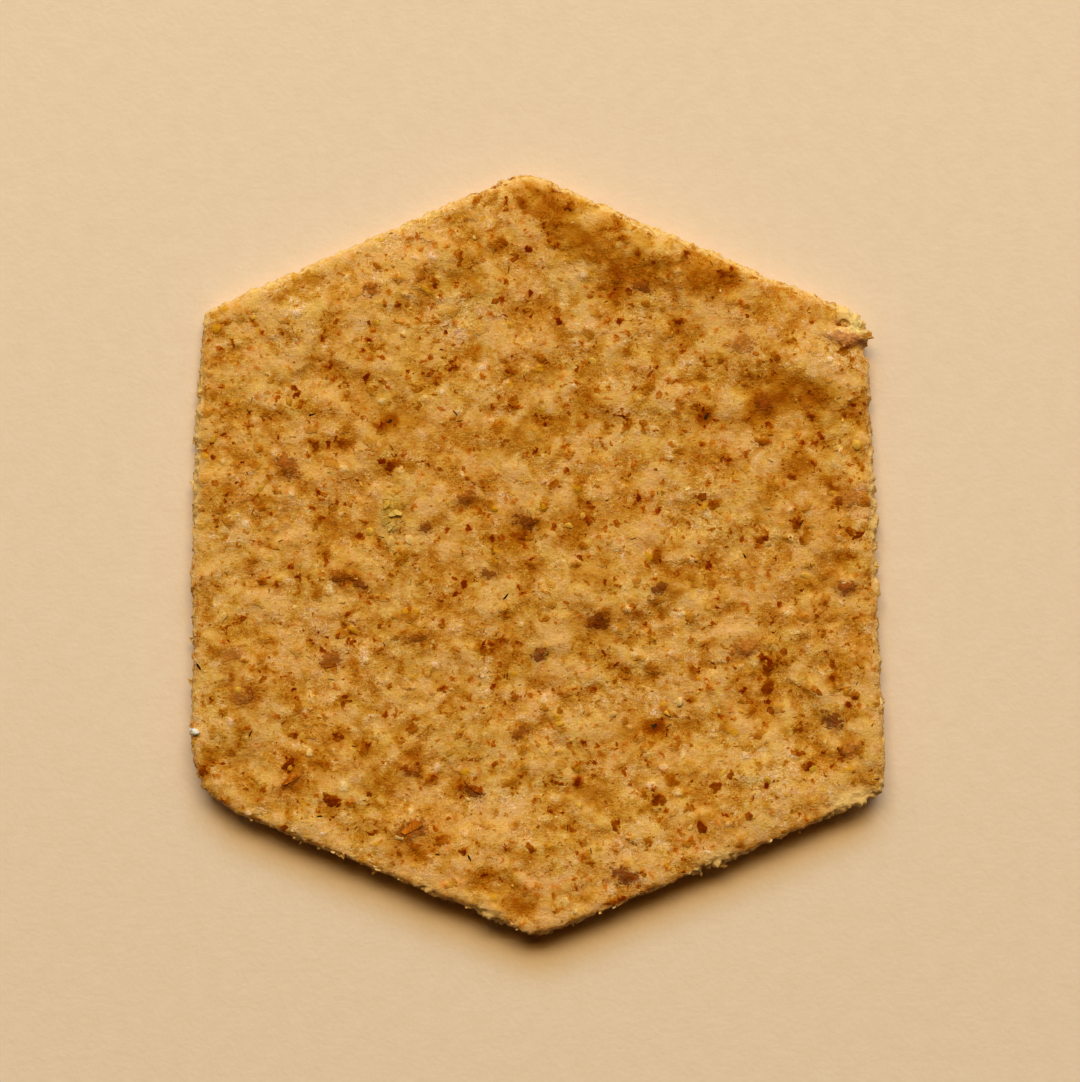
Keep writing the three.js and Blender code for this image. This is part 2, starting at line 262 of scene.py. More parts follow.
def thin_underside(piece, kept):
    """Collapses most of the faces that lie on the table."""
    flat = [v.index for v in piece.data.vertices if v.co.z < ON_TABLE]
    piece.vertex_groups.new(name="underside").add(flat, 1.0, "REPLACE")
    total = len(piece.data.vertices)
    thin = piece.modifiers.new("thin", "DECIMATE")
    thin.vertex_group = "underside"
    thin.ratio = (total - (1 - kept) * len(flat)) / total
    plain_mesh(piece)
    piece.vertex_groups.clear()


sheet = merged_copy(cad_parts["cracker"], "cracker_sheet")
net = sheet.modifiers.new("net", "REMESH")
net.mode = "VOXEL"
net.voxel_size = NET
plain_mesh(sheet)
thin_underside(sheet, UNDERSIDE_KEPT)
sheet.data.materials.clear()
print("sheet:", len(sheet.data.vertices), "points and", len(sheet.data.polygons), "faces")

# %% [markdown]
# Baked flour darkens along one path. Each bit of browning takes a little of the red, more of the green and
# most of the blue, as one more sheet of amber film would. So a single number is enough to colour the dough,
# from pale paste to dark bran, and layers of it are simply added up.

# %% How browning colours the dough
CREAM = srgb(212, 154, 69)
TAKEN = (0.44, 0.92, 2.62)
PALEST = -0.7
BROWNEST = 3.2
RUST_SHIFT = 0.15


def browned(amount, rust=0.0):
    """The colour after an amount of browning: 0 is pale paste and 2 dark bran. Rust makes it redder."""
    red, green, blue = [share * math.exp(-amount * taken) for share, taken in zip(CREAM, TAKEN)]
    return (red * (1 + RUST_SHIFT * rust), green * (1 - RUST_SHIFT * rust), blue, 1.0)


def browning_stops(steps=12):
    """Stops for a ramp that runs from the palest to the brownest."""
    shares = [n / steps for n in range(steps + 1)]
    return [(share, browned(PALEST + share * (BROWNEST - PALEST))) for share in shares]


print("pale, toasted and dark:", [[round(c, 3) for c in browned(n)[:3]] for n in (0, 1, 2)])

# %% [markdown]
# Some things on this cracker can be pointed at. The first are its largest flakes. They are listed in
# millimetres from the middle, and repeat the list in the part's source, which raised them a little from the
# dough. A helper mesh with one point for each flake hands the list to Geometry Nodes.

# %% The largest flakes
BRAN_BROWN = srgb(154, 78, 13)
BRAN_DARK = srgb(120, 50, 6)
BRAN_ORANGE = srgb(182, 108, 36)
BRAN_RED = srgb(146, 66, 10)
CRUMB_YELLOW = srgb(232, 196, 112)
GRAIN_GOLD = srgb(190, 146, 52)
STRIP_TAN = srgb(208, 134, 72)
FLAKES = [
    # across and up from the middle, length and width, turn in degrees, colour
    (-14.9, 24.0, 1.4, 1.1, 10, BRAN_BROWN),
    (9.6, 24.2, 2.1, 0.9, -14, BRAN_DARK),
    (18.6, 19.0, 2.1, 1.5, 12, BRAN_ORANGE),
    (20.5, 13.7, 1.5, 1.3, -60, BRAN_RED),
    (28.6, 5.2, 2.0, 1.6, 35, BRAN_ORANGE),
    (-22.6, 8.1, 2.5, 1.6, -50, BRAN_BROWN),
    (-13.2, 3.5, 2.3, 1.7, 75, GRAIN_GOLD),
    (-10.1, 2.5, 1.2, 1.1, 0, BRAN_BROWN),
    (-18.0, -2.0, 1.5, 1.2, -45, BRAN_BROWN),
    (-16.1, -2.5, 1.6, 0.9, -35, BRAN_DARK),
    (-6.4, 5.1, 1.7, 1.4, 20, BRAN_BROWN),
    (-1.0, 3.0, 2.0, 1.3, -30, BRAN_DARK),
    (0.2, -9.0, 1.3, 1.2, 30, BRAN_DARK),
    (5.5, -6.0, 2.1, 1.5, -15, BRAN_DARK),
    (11.0, -3.0, 1.6, 1.1, 25, BRAN_DARK),
    (-18.7, -9.5, 2.0, 1.4, 5, BRAN_BROWN),
    (-27.6, -9.0, 1.8, 1.5, 10, BRAN_ORANGE),
    (-26.7, -13.0, 1.7, 1.4, 40, BRAN_ORANGE),
    (-11.5, -24.9, 3.2, 1.7, 22, BRAN_BROWN),
    (-1.6, -16.2, 1.6, 1.1, 30, BRAN_BROWN),
    (-5.8, -21.4, 1.9, 1.0, -30, BRAN_DARK),
    (-11.4, -19.6, 1.5, 1.1, 0, BRAN_BROWN),
    (-22.2, -20.6, 2.2, 0.8, 32, BRAN_BROWN),
    (19.0, -8.4, 2.4, 1.4, 20, BRAN_ORANGE),
    (28.3, -17.6, 1.7, 1.1, 62, BRAN_ORANGE),
    (26.7, -15.0, 1.9, 1.4, -20, BRAN_DARK),
    (27.9, -3.0, 1.7, 1.2, 0, BRAN_RED),
    (8.0, -29.0, 2.4, 1.3, -12, BRAN_DARK),
    (-4.3, -1.7, 1.7, 0.9, -8, BRAN_BROWN),
    (-10.7, -7.5, 2.1, 0.8, 10, BRAN_BROWN),
    (28.9, 20.7, 1.6, 1.2, -35, CRUMB_YELLOW),
]
CURLED_STRIP = (28.2, 19.6, 4.6, 1.0, -3, STRIP_TAN)


def flake_places(flakes):
    """A helper mesh with one point for each flake, which carries the flake's sizes, turn and colour."""
    mesh = bpy.data.meshes.new("flake_places")
    mesh.from_pydata([(x, y, 0.0) for x, y, *_ in flakes], [], [])
    sizes = mesh.attributes.new("flake_sizes", "FLOAT_VECTOR", "POINT")
    colours = mesh.attributes.new("flake_colour", "FLOAT_VECTOR", "POINT")
    for n, (_, _, length, width, turn, colour) in enumerate(flakes):
        sizes.data[n].vector = (length / 2, width / 2, math.radians(turn))
        colours.data[n].vector = colour[:3]
    helper = bpy.data.objects.new("flake_places", mesh)
    bpy.context.scene.collection.objects.link(helper)
    return helper


print(len(FLAKES), "flakes and a curled strip")

# %% [markdown]
# Some patches are darker: the first few paint the shade behind the raised lip and beside the blister, and
# the rest are darker patches of skin. Others are pale, the rim is bare of skin, and the cutter tore the edge
# in places. Each is a soft oval, listed as the flakes are, since no rule would put them where they are.

# %% Patches of the skin
PAINTED_SHADE_AND_DARKER = [
    # across and up from the middle, reach along and across, turn in degrees, strength
    # The first four paint the shade behind the raised lip along the top right, and the fifth the shade on the
    # side of the blister away from the lamps; the rest are darker patches of skin.
    (3.0, 29.8, 4.4, 1.7, -44, 0.8),
    (9.0, 25.6, 5.0, 2.2, -20, 0.65),
    (15.8, 24.8, 3.6, 1.6, -12, 0.7),
    (-0.6, 32.2, 2.6, 1.6, 0, 0.6),
    (22.8, 14.6, 3.6, 1.6, 0, 1.0),
    (19.4, 12.8, 2.6, 1.4, 30, 0.5),
    (26.4, 12.8, 2.4, 1.3, -35, 0.5),
    (5.0, 13.0, 1.3, 2.6, 20, 0.5),
    (-2.8, 10.8, 2.6, 1.6, -10, 0.4),
    (-12.5, 12.0, 2.4, 1.6, -10, 0.5),
    (1.6, 3.6, 3.4, 1.8, 0, 0.5),
    (12.6, -3.0, 2.4, 1.4, 28, 0.7),
    (5.8, -6.3, 2.6, 1.6, -20, 0.6),
    (-17.0, -2.2, 2.2, 1.4, -30, 0.5),
    (0.4, -10.2, 1.8, 1.5, 0, 0.4),
    (-11.8, -16.2, 2.0, 1.5, 0, 0.4),
    (9.8, -16.0, 2.2, 1.5, 10, 0.5),
    (-26.0, -13.4, 3.4, 1.2, -45, 0.3),
    (-15.4, -19.6, 4.0, 1.4, -38, 0.4),
    (4.4, -22.0, 3.0, 1.2, -38, 0.5),
    (-12.0, -26.4, 2.6, 1.3, -20, 0.6),
    (-4.0, -30.6, 4.6, 1.2, -22, 0.6),
    (4.8, -2.0, 2.2, 1.3, 0, 0.5),
    (-2.0, -20.4, 3.0, 1.0, -30, 0.4),
    (-13.4, 12.1, 0.9, 0.6, 20, 1.0),
    (15.4, 12.6, 1.0, 0.6, 60, 1.0),
    (10.6, -15.5, 0.9, 0.6, 10, 1.0),
]
PALE_PLACES = [
    (-12.8, 26.8, 3.6, 1.6, 23, 2.0),
    (-6.6, 21.4, 3.2, 2.0, 10, 1.1),
    (-22.0, 22.0, 3.0, 1.8, 23, 0.4),
    (8.6, 11.8, 1.8, 1.8, 0, 0.6),
    (14.0, 5.0, 3.2, 2.4, 30, 0.5),
    (21.0, -19.6, 3.2, 2.6, 10, 1.0),
    (9.0, -27.0, 2.4, 2.2, 40, 0.5),
    (-3.4, -23.4, 3.2, 2.0, 10, 1.0),
    (-16.0, -12.0, 4.0, 1.8, 20, 0.4),
    (-27.6, 2.0, 1.8, 3.6, 0, 0.4),
    (22.4, 0.4, 2.6, 2.2, 0, 0.5),
    (-15.5, -8.6, 3.5, 1.2, 5, 0.8),
    (-29.4, -14.0, 1.5, 3.0, 0, 0.7),
    (10.0, -13.0, 3.0, 1.5, -35, 0.5),
    (-4.6, -11.0, 1.2, 3.0, 0, 0.5),
    (29.6, 4.6, 1.0, 3.0, 0, 0.6),
    (26.0, 18.2, 3.6, 2.0, -10, 0.9),
]
BARE_RIM = [
    (-17.8, 28.1, 13.0, 1.4, 23.4, 1.3),
    (14.8, 28.6, 17.0, 1.0, -23.4, 1.0),
    (-14.0, -27.7, 16.0, 0.9, -20.9, 0.7),
    (15.6, -27.0, 16.0, 0.8, 23.3, 0.5),
    (30.6, 2.0, 0.5, 18.0, 0, 0.5),
    (-30.8, 2.0, 0.5, 18.0, 0, 0.5),
]
TORN = [
    (16.4, -28.2, 2.6, 1.6, 24, 1.0),
    (28.4, -22.4, 2.6, 1.3, 24, 1.0),
    (-4.6, -32.4, 1.6, 1.0, -22, 0.8),
    (-10.2, -30.2, 1.2, 0.9, -22, 0.7),
    (28.4, 21.0, 1.5, 1.2, -30, 1.0),
    (30.8, 3.0, 0.9, 6.0, 0, 0.5),
    (-31.0, 9.0, 0.9, 7.0, 0, 0.5),
]
PATCHES = {"toasted": PAINTED_SHADE_AND_DARKER, "pale": PALE_PLACES, "bare_rim": BARE_RIM, "torn": TORN}
PATCH_CORE = 0.2
PATCH_END = 1.6


def patched(w, place, patches):
    """The summed strength of a list of soft oval patches at a place."""
    total = 0.0
    for x, y, along, across, turn, strength in patches:
        away = w.turned(w.vector("SUBTRACT", place, (x, y, 0.0)), math.radians(-turn))
        reach = w.vector("LENGTH", w.vector("MULTIPLY", away, (1 / along, 1 / across, 0.0)))
        total = w.math("ADD", total, w.fade(reach, PATCH_END, PATCH_CORE, 0.0, strength))
    return total


print("patches:", {name: len(patches) for name, patches in PATCHES.items()})

# %% [markdown]
# The skin's relief is a Geometry Nodes tree. First it blurs the net, so that the solid's facets melt away,
# and stores each point's place in the dough as an attribute that the material reads too. Then it pushes
# points along their normals: lumps of two sizes on top, raised flecks, crumbs on the cut edges and shallow
# pits underneath. Sculpting could do this as well, but a tree can be tuned by its named inputs.

# %% What the relief stores on each point
EDGE_SLOPES = (0.94, 0.5)
UNDER_SLOPES = (-0.5, -0.9)
FAR_REACH = 4.0


def stored(w, geometry, name, value, kind="FLOAT"):
    """The geometry with one more named attribute on its points."""
    inputs = {"Geometry": geometry, "Name": name, "Value": value}
    return w.node("GeometryNodeStoreNamedAttribute", inputs, data_type=kind, domain="POINT").outputs[0]


def named(w, name, kind="FLOAT_VECTOR"):
    """A named attribute of the geometry that is worked on."""
    return w.node("GeometryNodeInputNamedAttribute", {"Name": name}, data_type=kind).outputs[0]


def kept(w, name):
    """A number that was stored on the points."""
    return named(w, name, "FLOAT")


def nearest_flake(w, helper, place):
    """The distance to the nearest listed flake in its own radii, and its colour."""
    points = w.node("GeometryNodeObjectInfo", {"Object": helper}).outputs["Geometry"]
    flat = w.vector("MULTIPLY", place, (1.0, 1.0, 0.0))
    index = w.node("GeometryNodeSampleNearest", {"Geometry": points, "Sample Position": flat}).outputs[0]
    inputs = {"Geometry": points, "Index": index}

    def sampled(socket):
        node = w.node("GeometryNodeSampleIndex", inputs, data_type="FLOAT_VECTOR")
        w.feed(node.inputs["Value"], socket)
        return node.outputs[0]

    middle = sampled(w.node("GeometryNodeInputPosition").outputs[0])
    sizes = w.parts(sampled(named(w, "flake_sizes")))
    away = w.turned(w.vector("SUBTRACT", flat, middle), w.math("MULTIPLY", sizes[2], -1.0))
    reach = shard(w, w.vector("DIVIDE", away, w.joined(sizes[0], sizes[1], 1.0)))
    return w.math("MINIMUM", reach, FAR_REACH), sampled(named(w, "flake_colour"))


def with_places(w, shape, position, normal, helper):
    """Stores each point's place in mm, the way it faces, the listed patches and the nearest flake."""
    in_mm = w.scaled(position, 1 / MM)
    up = w.parts(normal)[2]
    shape = stored(w, shape, "dough_place", in_mm, "FLOAT_VECTOR")
    shape = stored(w, shape, "cut_edge", w.fade(w.math("ABSOLUTE", up), *EDGE_SLOPES))
    shape = stored(w, shape, "underside", w.fade(up, *UNDER_SLOPES))
    for name, patches in PATCHES.items():
        shape = stored(w, shape, name, patched(w, in_mm, patches))
    reach, colour = nearest_flake(w, helper, in_mm)
    shape = stored(w, shape, "flake_reach", reach)
    return stored(w, shape, "flake_colour", colour, "FLOAT_VECTOR")


def with_flecks(w, shape, fleck):
    """Stores where the bran and the scraps lie, for the material."""
    for kind in ("Bran", "Scraps"):
        shape = stored(w, shape, kind.lower() + "_reach", w.math("MINIMUM", fleck[kind], FAR_REACH))
        shape = stored(w, shape, kind.lower() + "_tint", fleck[kind + " Tint"])
    return stored(w, shape, "bran_bared", fleck["Bran Bared"])


print("patches to store:", ", ".join(PATCHES))

# %% [markdown]
# Browning is worked out in the same tree, because it follows the lumps, and there it paints light and shade:
# the side of each lump that faces the lamps is painted pale, and the side away from them brown. So the
# browning reads the lumps from a place a little way off, on the side away from the lamps. Clouds, swirls and
# smudges of other sizes are added to it, and so are the listed patches.

# %% How the browning follows the lumps, with painted light and shade
CLOUD_SIZE = 5.0
SWIRL_SIZE = 2.1
SWIRL_SHAKE = {"size": 1.8, "reach": 1.5}
SMUDGE_SIZE = 1.8
SMUDGE_SPAN = (0.53, 0.66)
HUE_SIZE = 1.3
BLUSH_SIZE = 5.0
BLOTCH_SIZE = 0.9
BLOTCH_STRETCH = (0.7, 1.0, 1.0)
SMUDGE_AWAY = (31.0, 7.0, 3.0)
BLUSH_AWAY = (11.0, 5.0, 2.0)
BROWNING = {
    # layer: how much it darkens, or lightens where it is below zero
    "cloud": -1.0,
    "swirl": -0.8,
    # painted light and shade: pale on the side of each lump facing the lamps, brown on the side away
    "lee": -2.75,
    # painted shade: darker in the creases between cushions, paler on their tops
    "cushion": -3.0,
    "smudge": 0.4,
    # painted shade behind the lip and the blister, and darker patches of skin
    "toasted": 1.05,
    "pale": -0.85,
    "bare_rim": -0.6,
}
PALEST_PASTE = -0.21
PASTE_BLEND = 0.3


def with_browning(w, shape, place, lee, cushion):
    """Stores the browning, with its painted light and shade, and the slow changes of tint for the material.
    """
    swirled = w.shaken(place, **SWIRL_SHAKE)
    elsewhere = w.vector("ADD", swirled, SMUDGE_AWAY)
    smudge = w.fade(w.noise(elsewhere, SMUDGE_SIZE, detail=3.0, roughness=0.55), *SMUDGE_SPAN)
    layers = {
        "cloud": w.centred(place, CLOUD_SIZE),
        "swirl": w.centred(swirled, SWIRL_SIZE, detail=1.0),
        "lee": lee,
        "cushion": cushion,
        "smudge": smudge,
    }
    brown = 0.0
    for layer, share in BROWNING.items():
        value = layers[layer] if layer in layers else kept(w, layer)
        brown = w.math("MULTIPLY_ADD", value, share, brown)
    made = {
        "browning": w.math("SMOOTH_MAX", brown, PALEST_PASTE, PASTE_BLEND),
        "smudge": smudge,
        # the moved lump pattern of the painted light and shade, kept for the material
        "crest": lee,
        "hue": w.noise(elsewhere, HUE_SIZE),
        "blush": w.noise(w.vector("ADD", elsewhere, BLUSH_AWAY), BLUSH_SIZE),
        "blotch": w.noise(w.vector("MULTIPLY", swirled, BLOTCH_STRETCH), BLOTCH_SIZE, roughness=0.6),
    }
    for name, value in made.items():
        shape = stored(w, shape, name, value)
    return shape


print("layers of browning:", ", ".join(BROWNING))

# %% [markdown]
# The tree's heights are its named inputs, in millimetres. Lumps roll softly over the whole top. Cushions
# are smaller lumps folded at their middle height, which leaves creases between them, and the browning paints
# shade into these creases and pales the cushion tops. The cutter leaves little skin on the edges and many
# crumbs, most of them where the edge is torn.

# %% How far the skin stands out
RELIEF = {
    "Blur Steps": 6,
    "Lump Height": 0.34,
    "Cushion Height": 0.13,
    "Grain Height": 0.03,
    "Fleck Height": 0.08,
    "Crumb Height": 0.55,
}
FLECK_SHARES = {"Bran": 0.7, "Bits": 0.5, "Scraps": 1.6}
FLECK_SLOPE = (1.05, 0.6)
PIT_SHARE = -1.0
PIT_SLOPE = (1.4, 0.6)
LUMP_SIZE = 2.9
LUMP_SHAKE = {"size": 2.4, "reach": 0.8}
# how far off the lumps are read for the painted light and shade, on the side away from the lamps
PAINTED_SHADE_SHIFT = (0.0, -0.5, 0.0)
NOISE_SPAN = (0.35, 0.65)
CALM_SIZE = 9.0
CALM = 0.5
LIVELY = 1.3
CUSHION_SIZE = 1.5
CUSHION_MIDDLE = 0.09
GRAIN_SIZE = 0.5
CRUMB_SIZE = 0.8
LEFT_ON_EDGE = 0.2
TORN_CRUMBS = 1.6
TORN_EDGE = 0.3


def raised(w, given, value, name, share=2.0):
    """A value times one of the tree's heights. A noise spans half a unit each way, so it counts twice."""
    return w.math("MULTIPLY", value, w.math("MULTIPLY", given[name], share))


def top_skin(w, given, place, fleck, lump, cushion):
    """How far the top skin stands out, in mm."""
    lively = w.fade(w.noise(place, CALM_SIZE, detail=1.0), *NOISE_SPAN, CALM, LIVELY)
    skin = raised(w, given, w.math("MULTIPLY", lump, lively), "Lump Height")
    skin = w.math("ADD", skin, raised(w, given, cushion, "Cushion Height"))
    grain = w.centred(place, GRAIN_SIZE, detail=1.0)
    skin = w.math("ADD", skin, raised(w, given, grain, "Grain Height"))
    for kind, share in FLECK_SHARES.items():
        flecks = w.fade(fleck[kind], *FLECK_SLOPE)
        skin = w.math("ADD", skin, raised(w, given, flecks, "Fleck Height", share))
    return skin


def whole_skin(w, given, place, fleck, top):
    """How far every point is pushed: the skin on top, crumbs on the cut edges and pits underneath."""
    edge = kept(w, "cut_edge")
    torn = kept(w, "torn")
    under = kept(w, "underside")
    top = w.math("MULTIPLY", top, w.math("MULTIPLY_ADD", edge, LEFT_ON_EDGE - 1.0, 1.0))
    crumbs = raised(w, given, w.centred(place, CRUMB_SIZE, detail=3.0, roughness=0.65), "Crumb Height")
    crumbs = w.math("MULTIPLY", crumbs, w.math("MULTIPLY_ADD", torn, TORN_CRUMBS, 1.0))
    edge = w.math("MINIMUM", w.math("MULTIPLY_ADD", torn, TORN_EDGE, edge), 1.0)
    push = w.math("ADD", top, w.math("MULTIPLY", edge, crumbs))
    push = w.math("MULTIPLY", push, w.math("SUBTRACT", 1.0, under))
    pits = raised(w, given, w.fade(fleck["Bits"], *PIT_SLOPE), "Fleck Height", PIT_SHARE)
    return w.math("ADD", push, w.math("MULTIPLY", under, pits))


print("heights in mm:", {name: tall for name, tall in RELIEF.items() if "Height" in name})

# %% [markdown]
# The tree puts all this together. Its last step keeps the points above the table, since the cracker lies on
# it. A modifier runs the tree with its inputs set, and the result is made a plain mesh that carries the
# stored attributes.

# %% The skin's relief


def relief_tree(helper):
    """The tree that blurs the net, stores what the material needs and raises the skin."""
    tree = bpy.data.node_groups.new("dough_relief", "GeometryNodeTree")
    tree.interface.new_socket("Geometry", in_out="INPUT", socket_type="NodeSocketGeometry")
    for name, value in RELIEF.items():
        kind = "NodeSocketInt" if isinstance(value, int) else "NodeSocketFloat"
        tree.interface.new_socket(name, in_out="INPUT", socket_type=kind)
    tree.interface.new_socket("Geometry", in_out="OUTPUT", socket_type="NodeSocketGeometry")
    w = Wiring(tree)
    given = w.node("NodeGroupInput").outputs
    position = w.node("GeometryNodeInputPosition").outputs[0]
    normal = w.node("GeometryNodeInputNormal").outputs[0]

    # Blur the net and store what the material needs
    blur = w.node("GeometryNodeBlurAttribute", {"Iterations": given["Blur Steps"]}, data_type="FLOAT_VECTOR")
    w.feed(blur.inputs["Value"], position)
    shape = w.node("GeometryNodeSetPosition", {0: given["Geometry"], "Position": blur.outputs[0]}).outputs[0]
    shape = with_places(w, shape, position, normal, helper)
    place = named(w, "dough_place")
    fleck = w.node("GeometryNodeGroup", {"Place": place}, node_tree=GRAIN_IN_RELIEF).outputs
    shape = with_flecks(w, shape, fleck)
    stirred = w.shaken(place, **LUMP_SHAKE)
    lump = w.centred(stirred, LUMP_SIZE, detail=1.0)
    # the same lumps read a little way off, for the painted light and shade in the browning
    lee = w.centred(w.vector("ADD", stirred, PAINTED_SHADE_SHIFT), LUMP_SIZE, detail=1.0)
    # cushions raise the skin, and in the browning they paint shade into their creases
    cushion = w.math("ABSOLUTE", w.centred(place, CUSHION_SIZE, detail=1.0))
    cushion = w.math("SUBTRACT", cushion, CUSHION_MIDDLE)
    shape = with_browning(w, shape, place, lee, cushion)

    # Push the points, keep them above the table and shade them smooth
    push = whole_skin(w, given, place, fleck, top_skin(w, given, place, fleck, lump, cushion))
    step = w.scaled(normal, w.math("MULTIPLY", push, MM))
    shape = w.node("GeometryNodeSetPosition", {0: shape, "Offset": step}).outputs[0]
    above = w.vector("MAXIMUM", position, (-1.0, -1.0, 0.0))
    shape = w.node("GeometryNodeSetPosition", {0: shape, "Position": above}).outputs[0]
    shape = w.node("GeometryNodeSetShadeSmooth", {0: shape}).outputs[0]
    w.feed(w.node("NodeGroupOutput").inputs["Geometry"], shape)
    return tree


def set_inputs(modifier, values):
    """Sets a Geometry Nodes modifier's inputs, which it knows by identifier and not by name."""
    for item in modifier.node_group.interface.items_tree:
        if item.item_type == "SOCKET" and item.in_out == "INPUT" and item.name in values:
            modifier[item.identifier] = values[item.name]


helper = flake_places([*FLAKES, CURLED_STRIP])
relief = sheet.modifiers.new("relief", "NODES")
relief.node_group = relief_tree(helper)
set_inputs(relief, RELIEF)
plain_mesh(sheet)
bpy.data.objects.remove(helper)
print("relief stored:", [a.name for a in sheet.data.attributes if not a.name.startswith(".")])

# %% [markdown]
# The dough's colour is layered as the real one is. A straw-coloured paste with slow clouds of toast lies
# under everything, and in that browning there is also painted light and shade on the lumps, in their creases
# and behind the raised lip. Bran of three sizes lies in it. What changes slowly was stored on the points by
# the relief, so that each fleck's colour lies on its own bump. The shader frays it with noises that are finer
# than the mesh: lumps, fibres, dust and fine hairs. A painted image could do the same, but noise stays sharp
# however close one looks.

# %% Fine noises for the dough
FINE_SIZE = 0.42
DUST_SIZE = 0.11
FIBRE_STRETCH = (3.2, 4.4, 4.0)
SMEAR_SIZE = 0.62
SMEAR_SPAN = (0.52, 0.66)
SMEAR_SHAKE = {"size": 0.9, "reach": 0.5}
HAIR = {"shake": 0.5, "reach": 0.35, "size": 0.4, "width": 0.045}
DOWN = {"shake": 0.3, "reach": 0.25, "size": 0.22, "width": 0.06}
DOWN_SHARE = 0.5


def fresh_material(name):
    """An empty node material with a Principled shader, and the wiring to fill it."""
    material = bpy.data.materials.new(name)
    material.use_nodes = True
    w = Wiring(material.node_tree)
    shader = material.node_tree.nodes["Principled BSDF"]
    return material, w, shader


def attribute(w, name, output="Fac"):
    """What a tree stored on the points under a name."""
    return w.node("ShaderNodeAttribute", attribute_name=name).outputs[output]


def by_lit_crest(w, in_shaded_hollow, on_lit_crest, width=0.1):
    """One value in the hollows of the moved lumps, which lie away from the lamps, and another on their
    crests.
    """
    return w.fade(attribute(w, "crest"), -width, width, in_shaded_hollow, on_lit_crest)


def threads(w, place, shake, reach, size, width):
    """1 along thin wandering lines, where a shaken noise passes its middle value."""
    middle = w.centred(w.shaken(place, shake, reach), size, detail=1.0)
    return w.fade(w.math("ABSOLUTE", middle), width, 0.0)


def fine_noises(w, place):
    """The noises that are finer than the mesh, by name."""
    fine = w.noise(place, FINE_SIZE, detail=3.0, roughness=0.6)
    smear = w.noise(w.shaken(place, **SMEAR_SHAKE), SMEAR_SIZE, detail=4.0, roughness=0.62)
    return {
        "fine": fine,
        "rough": w.math("SUBTRACT", fine, 0.5),
        "fibre": w.centred(w.vector("MULTIPLY", place, FIBRE_STRETCH), size=1.0),
        "dust": w.centred(place, DUST_SIZE, detail=1.0),
        "hair": w.math("MULTIPLY_ADD", threads(w, place, **DOWN), DOWN_SHARE, threads(w, place, **HAIR)),
        "smear": w.fade(smear, *SMEAR_SPAN),
    }


print("finest noise in the colour:", DUST_SIZE, "mm")

# %% [markdown]
# Paste and bran both add to the browning, so each is a function that returns an amount. Bran that is buried
# a little shows as a soft brown haze, and bran at the surface has a firm edge. Its depth comes from a
# random draw raised to a power, because most bran is light brown and only a few flakes are dark. More of it
# shows in the hollows, where the skin is open, than on the smooth crests. These hollows are read from the
# moved lump pattern, so they lie on the sides away from the lamps, and the extra bran there adds painted
# shade.

# %% Browning of the paste and the bran
FIBRE_BROWNING = {"in_shaded_hollow": -0.65, "on_lit_crest": -0.25}
DUST_BROWNING = {"in_shaded_hollow": -1.2, "on_lit_crest": -0.5}
HAIR_BROWNING = {"in_shaded_hollow": -0.5, "on_lit_crest": -0.2}
# more bran shows on the shaded sides of the lumps, which adds painted shade there
OPEN_BY_LIT_CREST = {"in_shaded_hollow": 1.4, "on_lit_crest": 0.5, "width": 0.14}
FRECKLES = {"start": 0.62, "end": 0.70, "high": 0.7}
FUZZ = {"start": 0.36, "end": 0.26, "high": -0.2}
ALL_OVER = 0.09
BRAN_LAYERS = {
    # kind: browning of its palest and darkest flecks, and of the haze round them
    "Bran": {"palest": 0.8, "darkest": 3.1, "haze": 0.35},
    "Bits": {"palest": 0.7, "darkest": 3.1, "haze": 0.25},
    "Specks": {"palest": 0.7, "darkest": 3.3, "haze": 0.0},
}
FIRM_FROM = 1.25
BARE_FROM = 0.3
FIRMEST = 0.80
LEAST_DEPTH = 0.4
HAZE_SLOPE = (2.2, 0.5)
FEW_DARK = 2.5
VEIL = {"start": -0.2, "end": 0.2, "low": 0.9, "high": 2.0}
OPEN_BY_SMUDGE = {"start": 0.0, "end": 0.6, "low": 0.8, "high": 1.2}
CLOSED_AT_RIM = -0.8
BITS_FRAY = 1.2
MOTTLING = 1.5


def paste_browning(w, noises):
    """The stored browning, shaken by fibre and dust, with brown freckles, pale fuzz and pale hairs."""
    brown = attribute(w, "browning")
    brown = w.math("MULTIPLY_ADD", noises["fibre"], by_lit_crest(w, **FIBRE_BROWNING), brown)
    brown = w.math("MULTIPLY_ADD", noises["dust"], by_lit_crest(w, **DUST_BROWNING), brown)
    for marks in (FRECKLES, FUZZ):
        brown = w.math("ADD", brown, w.fade(noises["fine"], **marks))
    brown = w.math("MULTIPLY_ADD", noises["hair"], by_lit_crest(w, **HAIR_BROWNING), brown)
    return w.math("ADD", brown, ALL_OVER)


def fleck_browning(w, reach, tint, bared, mottled, palest, darkest, haze):
    """A shard that is firmer and darker the more of it is bare, in a soft haze."""
    firm = w.fade(reach, FIRM_FROM, w.fade(bared, BARE_FROM, 1.0, 0.0, FIRMEST))
    depth = w.math("MULTIPLY_ADD", w.math("POWER", tint, FEW_DARK), darkest - palest, palest)
    depth = w.math("MULTIPLY", depth, w.fade(bared, 0.0, 1.0, LEAST_DEPTH, 1.0))
    depth = w.math("MULTIPLY", depth, mottled)
    soft = w.fade(reach, *HAZE_SLOPE, 0.0, haze)
    return w.math("MULTIPLY_ADD", firm, depth, soft)


